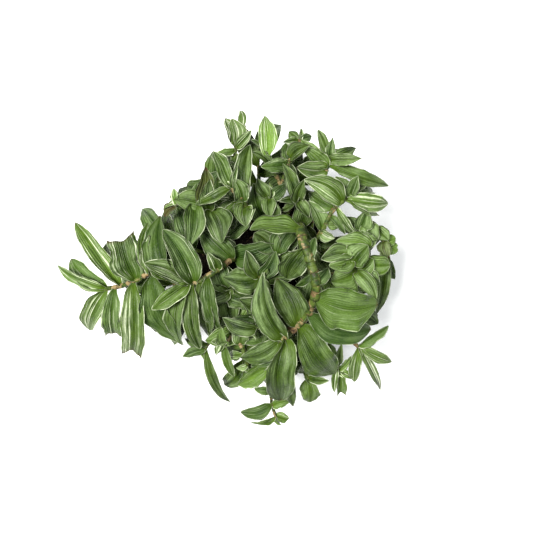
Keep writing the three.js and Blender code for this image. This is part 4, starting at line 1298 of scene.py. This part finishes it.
def leaf_finish():
    """Blades lined along their veins in cream and silver, with pale margins and a green base."""
    f = Finish("leaf_blade", 0.5, 0.18)
    across, along, seed = f.split(f.attribute("leaf_place", "Vector"))
    lane, length, edge = f.split(f.attribute("leaf_size", "Vector"))
    stripe, silver, lime = f.split(f.attribute("leaf_look", "Vector"))
    shift = f.times(seed, 71.0)

    def lines(spacing, stretch, detail=1.0, of=shift):
        """Noise drawn out along the blade, in lines of about this spacing in millimetres."""
        x, y = f.math("DIVIDE", lane, spacing), f.math("DIVIDE", length, stretch)
        return f.noise(f.join(x, y, of), 1.0, detail)

    # The green: patches, a fresh base, leaves that are lighter, limier or cooler as a whole, and
    # painted shade that darkens the leaves near the plant's middle.
    patch = lines(9.0, 14.0, 3.0)
    base = f.mix(f.step(patch, 0.32, 0.68), LEAF_DARK, LEAF_MID)
    base = f.mix(f.times(f.step(along, 0.35, 0.03), 0.7), base, LEAF_FRESH)
    base = f.mix(f.times(lime, 0.9), base, LEAF_LIME)
    base = f.shade(base, f.step(f.noise(f.join(shift, 0.0, 0.0), 3.7), 0.34, 0.66, 0.7, 1.16))
    # Painted shade: leaves are darker the nearer they are to the plant's middle, where the canopy above
    # shades them.
    x, y, _ = f.split(f.position())
    away = f.math("SQRT", f.plus(f.times(x, x), f.times(y, y)))
    base = f.shade(base, f.step(away, 0.03, 0.12, 0.74, 1.06))
    cool = f.step(f.noise(f.join(0.0, shift, 0.0), 2.9), 0.46, 0.66, 0.0, 0.5)
    base = f.mix(cool, base, LEAF_COOL)

    # The silver: a cloudy sheen on both flanks of the midrib.
    lanes, threads, broad = lines(1.9, 150.0), lines(0.7, 90.0), lines(1.7, 220.0)
    lit = f.step(along, 0.02, 0.25)
    flank = f.math("ABSOLUTE", across)
    zone = f.times(f.step(flank, 0.05, 0.4), f.step(flank, 1.0, 0.7))
    cloud = lines(5.0, 22.0, 3.0)
    zone = f.times(zone, f.step(f.plus(cloud, f.times(lanes, 0.45)), 0.48, 0.94))
    sheen = f.times(f.times(zone, lit), f.plus(silver, 0.2), clamp=True)
    base = f.mix(sheen, base, LEAF_SILVER)

    # The cream: fine threads, a few broad strokes, and an uneven margin.
    fading = f.step(lines(2.5, 20.0, 2.0, seed), 0.4, 0.62)
    thread = f.times(f.step(threads, 0.57, 0.65), f.times(lit, fading))
    thread = f.times(thread, f.plus(f.times(stripe, 0.5), 0.02))
    base = f.mix(thread, base, LEAF_CREAM)
    sparse = f.step(stripe, 0.1, 1.0, 0.77, 0.59)
    stroke = f.times(f.math("SUBTRACT", broad, sparse), 40.0, clamp=True)
    stroke = f.times(stroke, f.step(fading, 0.0, 0.6, 0.25, 0.65))
    base = f.mix(f.times(stroke, lit), base, LEAF_CREAM)
    uneven = f.step(f.noise(f.join(length, shift, across), 0.12), 0.38, 0.62, 0.15, 1.0)
    rim = f.times(f.step(edge, 0.85, 0.35), uneven)
    rim = f.times(rim, f.plus(f.times(stripe, 0.5), 0.42), clamp=True)
    base = f.mix(rim, base, LEAF_CREAM)

    # Painted shade in the midrib's groove, then the veins, a speckle, the dull under side and the brown
    # ends.
    groove = f.step(f.math("ABSOLUTE", lane), 0.6, 0.15)
    base = f.shade(base, f.step(groove, 0.0, 1.0, 1.0, 0.8))
    veins = f.math("SINE", f.plus(f.times(lane, 2.9), f.times(lanes, 5.0)))
    base = f.shade(base, f.step(veins, -1.0, 1.0, 0.91, 1.04))
    speckle = lines(0.8, 2.2, 2.0)
    base = f.shade(base, f.step(speckle, 0.3, 0.7, 0.86, 1.12))
    base = f.mix(f.times(f.attribute("leaf_under"), 0.7), base, LEAF_UNDER)
    base = f.mix(f.attribute("leaf_brown"), base, LEAF_BROWN)
    f.finish("Base Color", base)
    crinkle = f.plus(f.times(lanes, 2.0), f.times(speckle, 2.5))
    f.bump(f.plus(veins, crinkle), 0.5, 0.0006)
    f.finish("Roughness", f.step(patch, 0.3, 0.7, 0.4, 0.54))
    return f.material


STEM_GREEN = srgb(38, 56, 20)
STEM_PALE = srgb(78, 94, 36)
STEM_RING = srgb(110, 96, 60)
STEM_SCAR = srgb(52, 36, 24)
SHEATH_TAN = srgb(140, 122, 84)
SHEATH_ROSE = srgb(96, 76, 50)


def stem_finish():
    """Jointed stems, glossy green with tan rings, and sheaths from pale green to dry tan."""
    f = Finish("stem_skin", 0.5, 0.22)
    ring, dry = f.attribute("stem_ring"), f.attribute("stem_dry")
    where = f.position()
    mottle = f.noise(where, 150.0, 3.0)
    streaks = f.noise(where, 900.0, 2.0)
    base = f.mix(f.step(mottle, 0.35, 0.62), STEM_GREEN, STEM_PALE)
    skin = f.noise(where, 95.0, 4.0, 0.6)
    base = f.mix(f.times(f.step(skin, 0.53, 0.59), 0.85), base, SHEATH_TAN)
    worn_dark = f.step(f.noise(where, 260.0, 3.0), 0.57, 0.64)
    base = f.mix(f.times(worn_dark, 0.6), base, STEM_SCAR)
    base = f.mix(f.times(f.step(ring, 0.35, 0.6), 0.7), base, STEM_SCAR)
    base = f.mix(f.times(f.step(ring, 0.7, 0.9), 0.9), base, STEM_RING)
    tan = f.mix(f.step(mottle, 0.42, 0.58), SHEATH_TAN, SHEATH_ROSE)
    tan = f.mix(f.step(f.noise(where, 210.0, 3.0), 0.58, 0.66), tan, STEM_SCAR)
    worn = f.plus(dry, f.times(f.math("SUBTRACT", skin, 0.5), 2.2))
    base = f.mix(f.times(f.step(worn, 0.35, 0.65), f.step(dry, 0.0, 0.05)), base, tan)
    base = f.shade(base, f.step(streaks, 0.3, 0.7, 0.82, 1.08))
    f.finish("Base Color", base)
    f.bump(f.plus(streaks, mottle), 0.4, 0.0006)
    f.finish("Roughness", f.step(dry, 0.0, 1.0, 0.52, 0.82))
    return f.material


def soil_finish():
    """Dark peat in crumbs and clods."""
    f = Finish("soil_crumb", 0.95, 0.2)
    where = f.position()
    crumbs = f.noise(where, 420.0, 6.0, 0.65)
    clods = f.cells(where, 300.0)
    base = f.mix(f.step(crumbs, 0.35, 0.7), srgb(17, 13, 10), srgb(46, 36, 26))
    f.finish("Base Color", f.shade(base, f.step(clods, 0.0, 0.6, 1.1, 0.7)))
    f.bump(f.plus(crumbs, clods), 0.9, 0.002)
    return f.material


def bits_finish():
    """Brown bark and peat, with a few pale scraps."""
    f = Finish("soil_bit", 0.9, 0.2)
    tone = f.attribute("bit_tone")
    grain = f.noise(f.position(), 700.0, 4.0)
    base = f.mix(f.step(tone, 0.3, 0.9), srgb(22, 17, 12), srgb(64, 48, 33))
    base = f.mix(f.step(tone, 0.93, 0.97), base, srgb(112, 92, 64))
    f.finish("Base Color", f.shade(base, f.step(grain, 0.3, 0.7, 0.7, 1.15)))
    f.bump(grain, 0.7, 0.001)
    return f.material


def pot_finish():
    """Dark grey moulded plastic with a fine grain, scuffs, and dust towards the foot."""
    f = Finish("pot_plastic", 0.5, 0.4)
    where = f.position()
    _, _, z = f.split(where)
    grain = f.noise(where, 1600.0, 2.0)
    scuffs = f.noise(where, 60.0, 5.0, 0.7)
    dust = f.times(f.step(z, 0.04, 0.0), f.step(scuffs, 0.4, 0.7))
    base = f.mix(f.step(scuffs, 0.35, 0.75), srgb(52, 56, 52), srgb(70, 75, 70))
    base = f.mix(f.times(dust, 0.45), base, srgb(122, 108, 88))
    f.finish("Base Color", base)
    f.finish("Roughness", f.step(scuffs, 0.3, 0.7, 0.42, 0.62))
    f.bump(grain, 0.15, 0.0002)
    return f.material


# ---- Floor, light and camera ----

IMAGE_SIZE = 533
FOCAL_PIXELS = 534.5
SENSOR = 36.0
CAMERA_PLACE = (0.0045, 0.0015, EYE_HEIGHT * MM)
FLOOR_HALF = 1.8
FLOOR_LEVEL = -0.0004
# The floor's faint pale blue glow is painted light: it lightens the shadows cast on the floor.
FLOOR_GLOW = (0.92, 0.97, 1.0, 1.0)
FLOOR_GLOW_STRENGTH = 0.17
ROOM_LIGHT = (0.93, 0.99, 1.0, 1.0)
ROOM_STRENGTH = 0.18
BACKDROP = (0.9, 0.91, 0.92, 1.0)
LAMP_TARGET = Vector((0, 0, 0.1))

# Each lamp's name, place, size, power in watts and colour.
LAMPS = [
    ("window", (-0.85, 0.1, 2.3), 0.6, 110, (1.0, 0.985, 0.96)),
    ("ceiling", (0.5, 0.5, 2.5), 1.2, 34, (0.99, 0.99, 1.0)),
]


def make_stage():
    """The plain pale floor, whose faint pale blue glow is painted light that lightens the shadows cast
    on it.
    """
    f = Finish("pale_floor", 0.8, 0.1)
    tone = f.noise(f.position(), 3.0, 2.0)
    f.finish("Base Color", f.mix(tone, srgb(250, 250, 250), srgb(246, 247, 246)))
    f.finish("Emission Color", FLOOR_GLOW)
    f.finish("Emission Strength", FLOOR_GLOW_STRENGTH)
    mesh = bpy.data.meshes.new("floor")
    corners = [(-1, -1), (1, -1), (1, 1), (-1, 1)]
    points = [(x * FLOOR_HALF, y * FLOOR_HALF, FLOOR_LEVEL) for x, y in corners]
    mesh.from_pydata(points, [], [(0, 1, 2, 3)])
    mesh.materials.append(f.material)
    floor = put("floor", mesh)


def make_light():
    """A pale room that lights softly and is seen as a paler backdrop, and two broad lamps."""
    world = bpy.data.worlds.new("soft_room")
    bpy.context.scene.world = world
    world.use_nodes = True
    background = world.node_tree.nodes["Background"]
    background.inputs["Color"].default_value = ROOM_LIGHT
    background.inputs["Strength"].default_value = ROOM_STRENGTH
    backdrop = world.node_tree.nodes.new("ShaderNodeBackground")
    backdrop.inputs["Color"].default_value = BACKDROP
    seen = world.node_tree.nodes.new("ShaderNodeLightPath")
    either = world.node_tree.nodes.new("ShaderNodeMixShader")
    link = world.node_tree.links.new
    link(seen.outputs["Is Camera Ray"], either.inputs[0])
    link(background.outputs[0], either.inputs[1])
    link(backdrop.outputs[0], either.inputs[2])
    link(either.outputs[0], world.node_tree.nodes["World Output"].inputs["Surface"])
    for name, location, size, power, color in LAMPS:
        lamp = bpy.data.lights.new(name, "AREA")
        lamp.size, lamp.energy, lamp.color = size, power, color
        holder = put(name, lamp)
        holder.location = location
        aim = LAMP_TARGET - Vector(location)
        holder.rotation_euler = aim.to_track_quat("-Z", "Y").to_euler()


def make_camera():
    """A camera that looks straight down."""
    lens = bpy.data.cameras.new("camera")
    lens.sensor_width = SENSOR
    lens.lens = SENSOR * FOCAL_PIXELS / IMAGE_SIZE
    lens.clip_start = 0.01
    camera = put("camera", lens)
    camera.location = CAMERA_PLACE
    bpy.context.scene.camera = camera
    bpy.context.scene.view_settings.view_transform = "Standard"


# ---- Making it ----

make_camera()
make_light()
make_stage()
make_pot(pot_finish())
make_soil(soil_finish())
make_soil_bits(bits_finish())
make_shoots(grow_plant(), leaf_finish(), stem_finish())

bpy.context.view_layer.update()
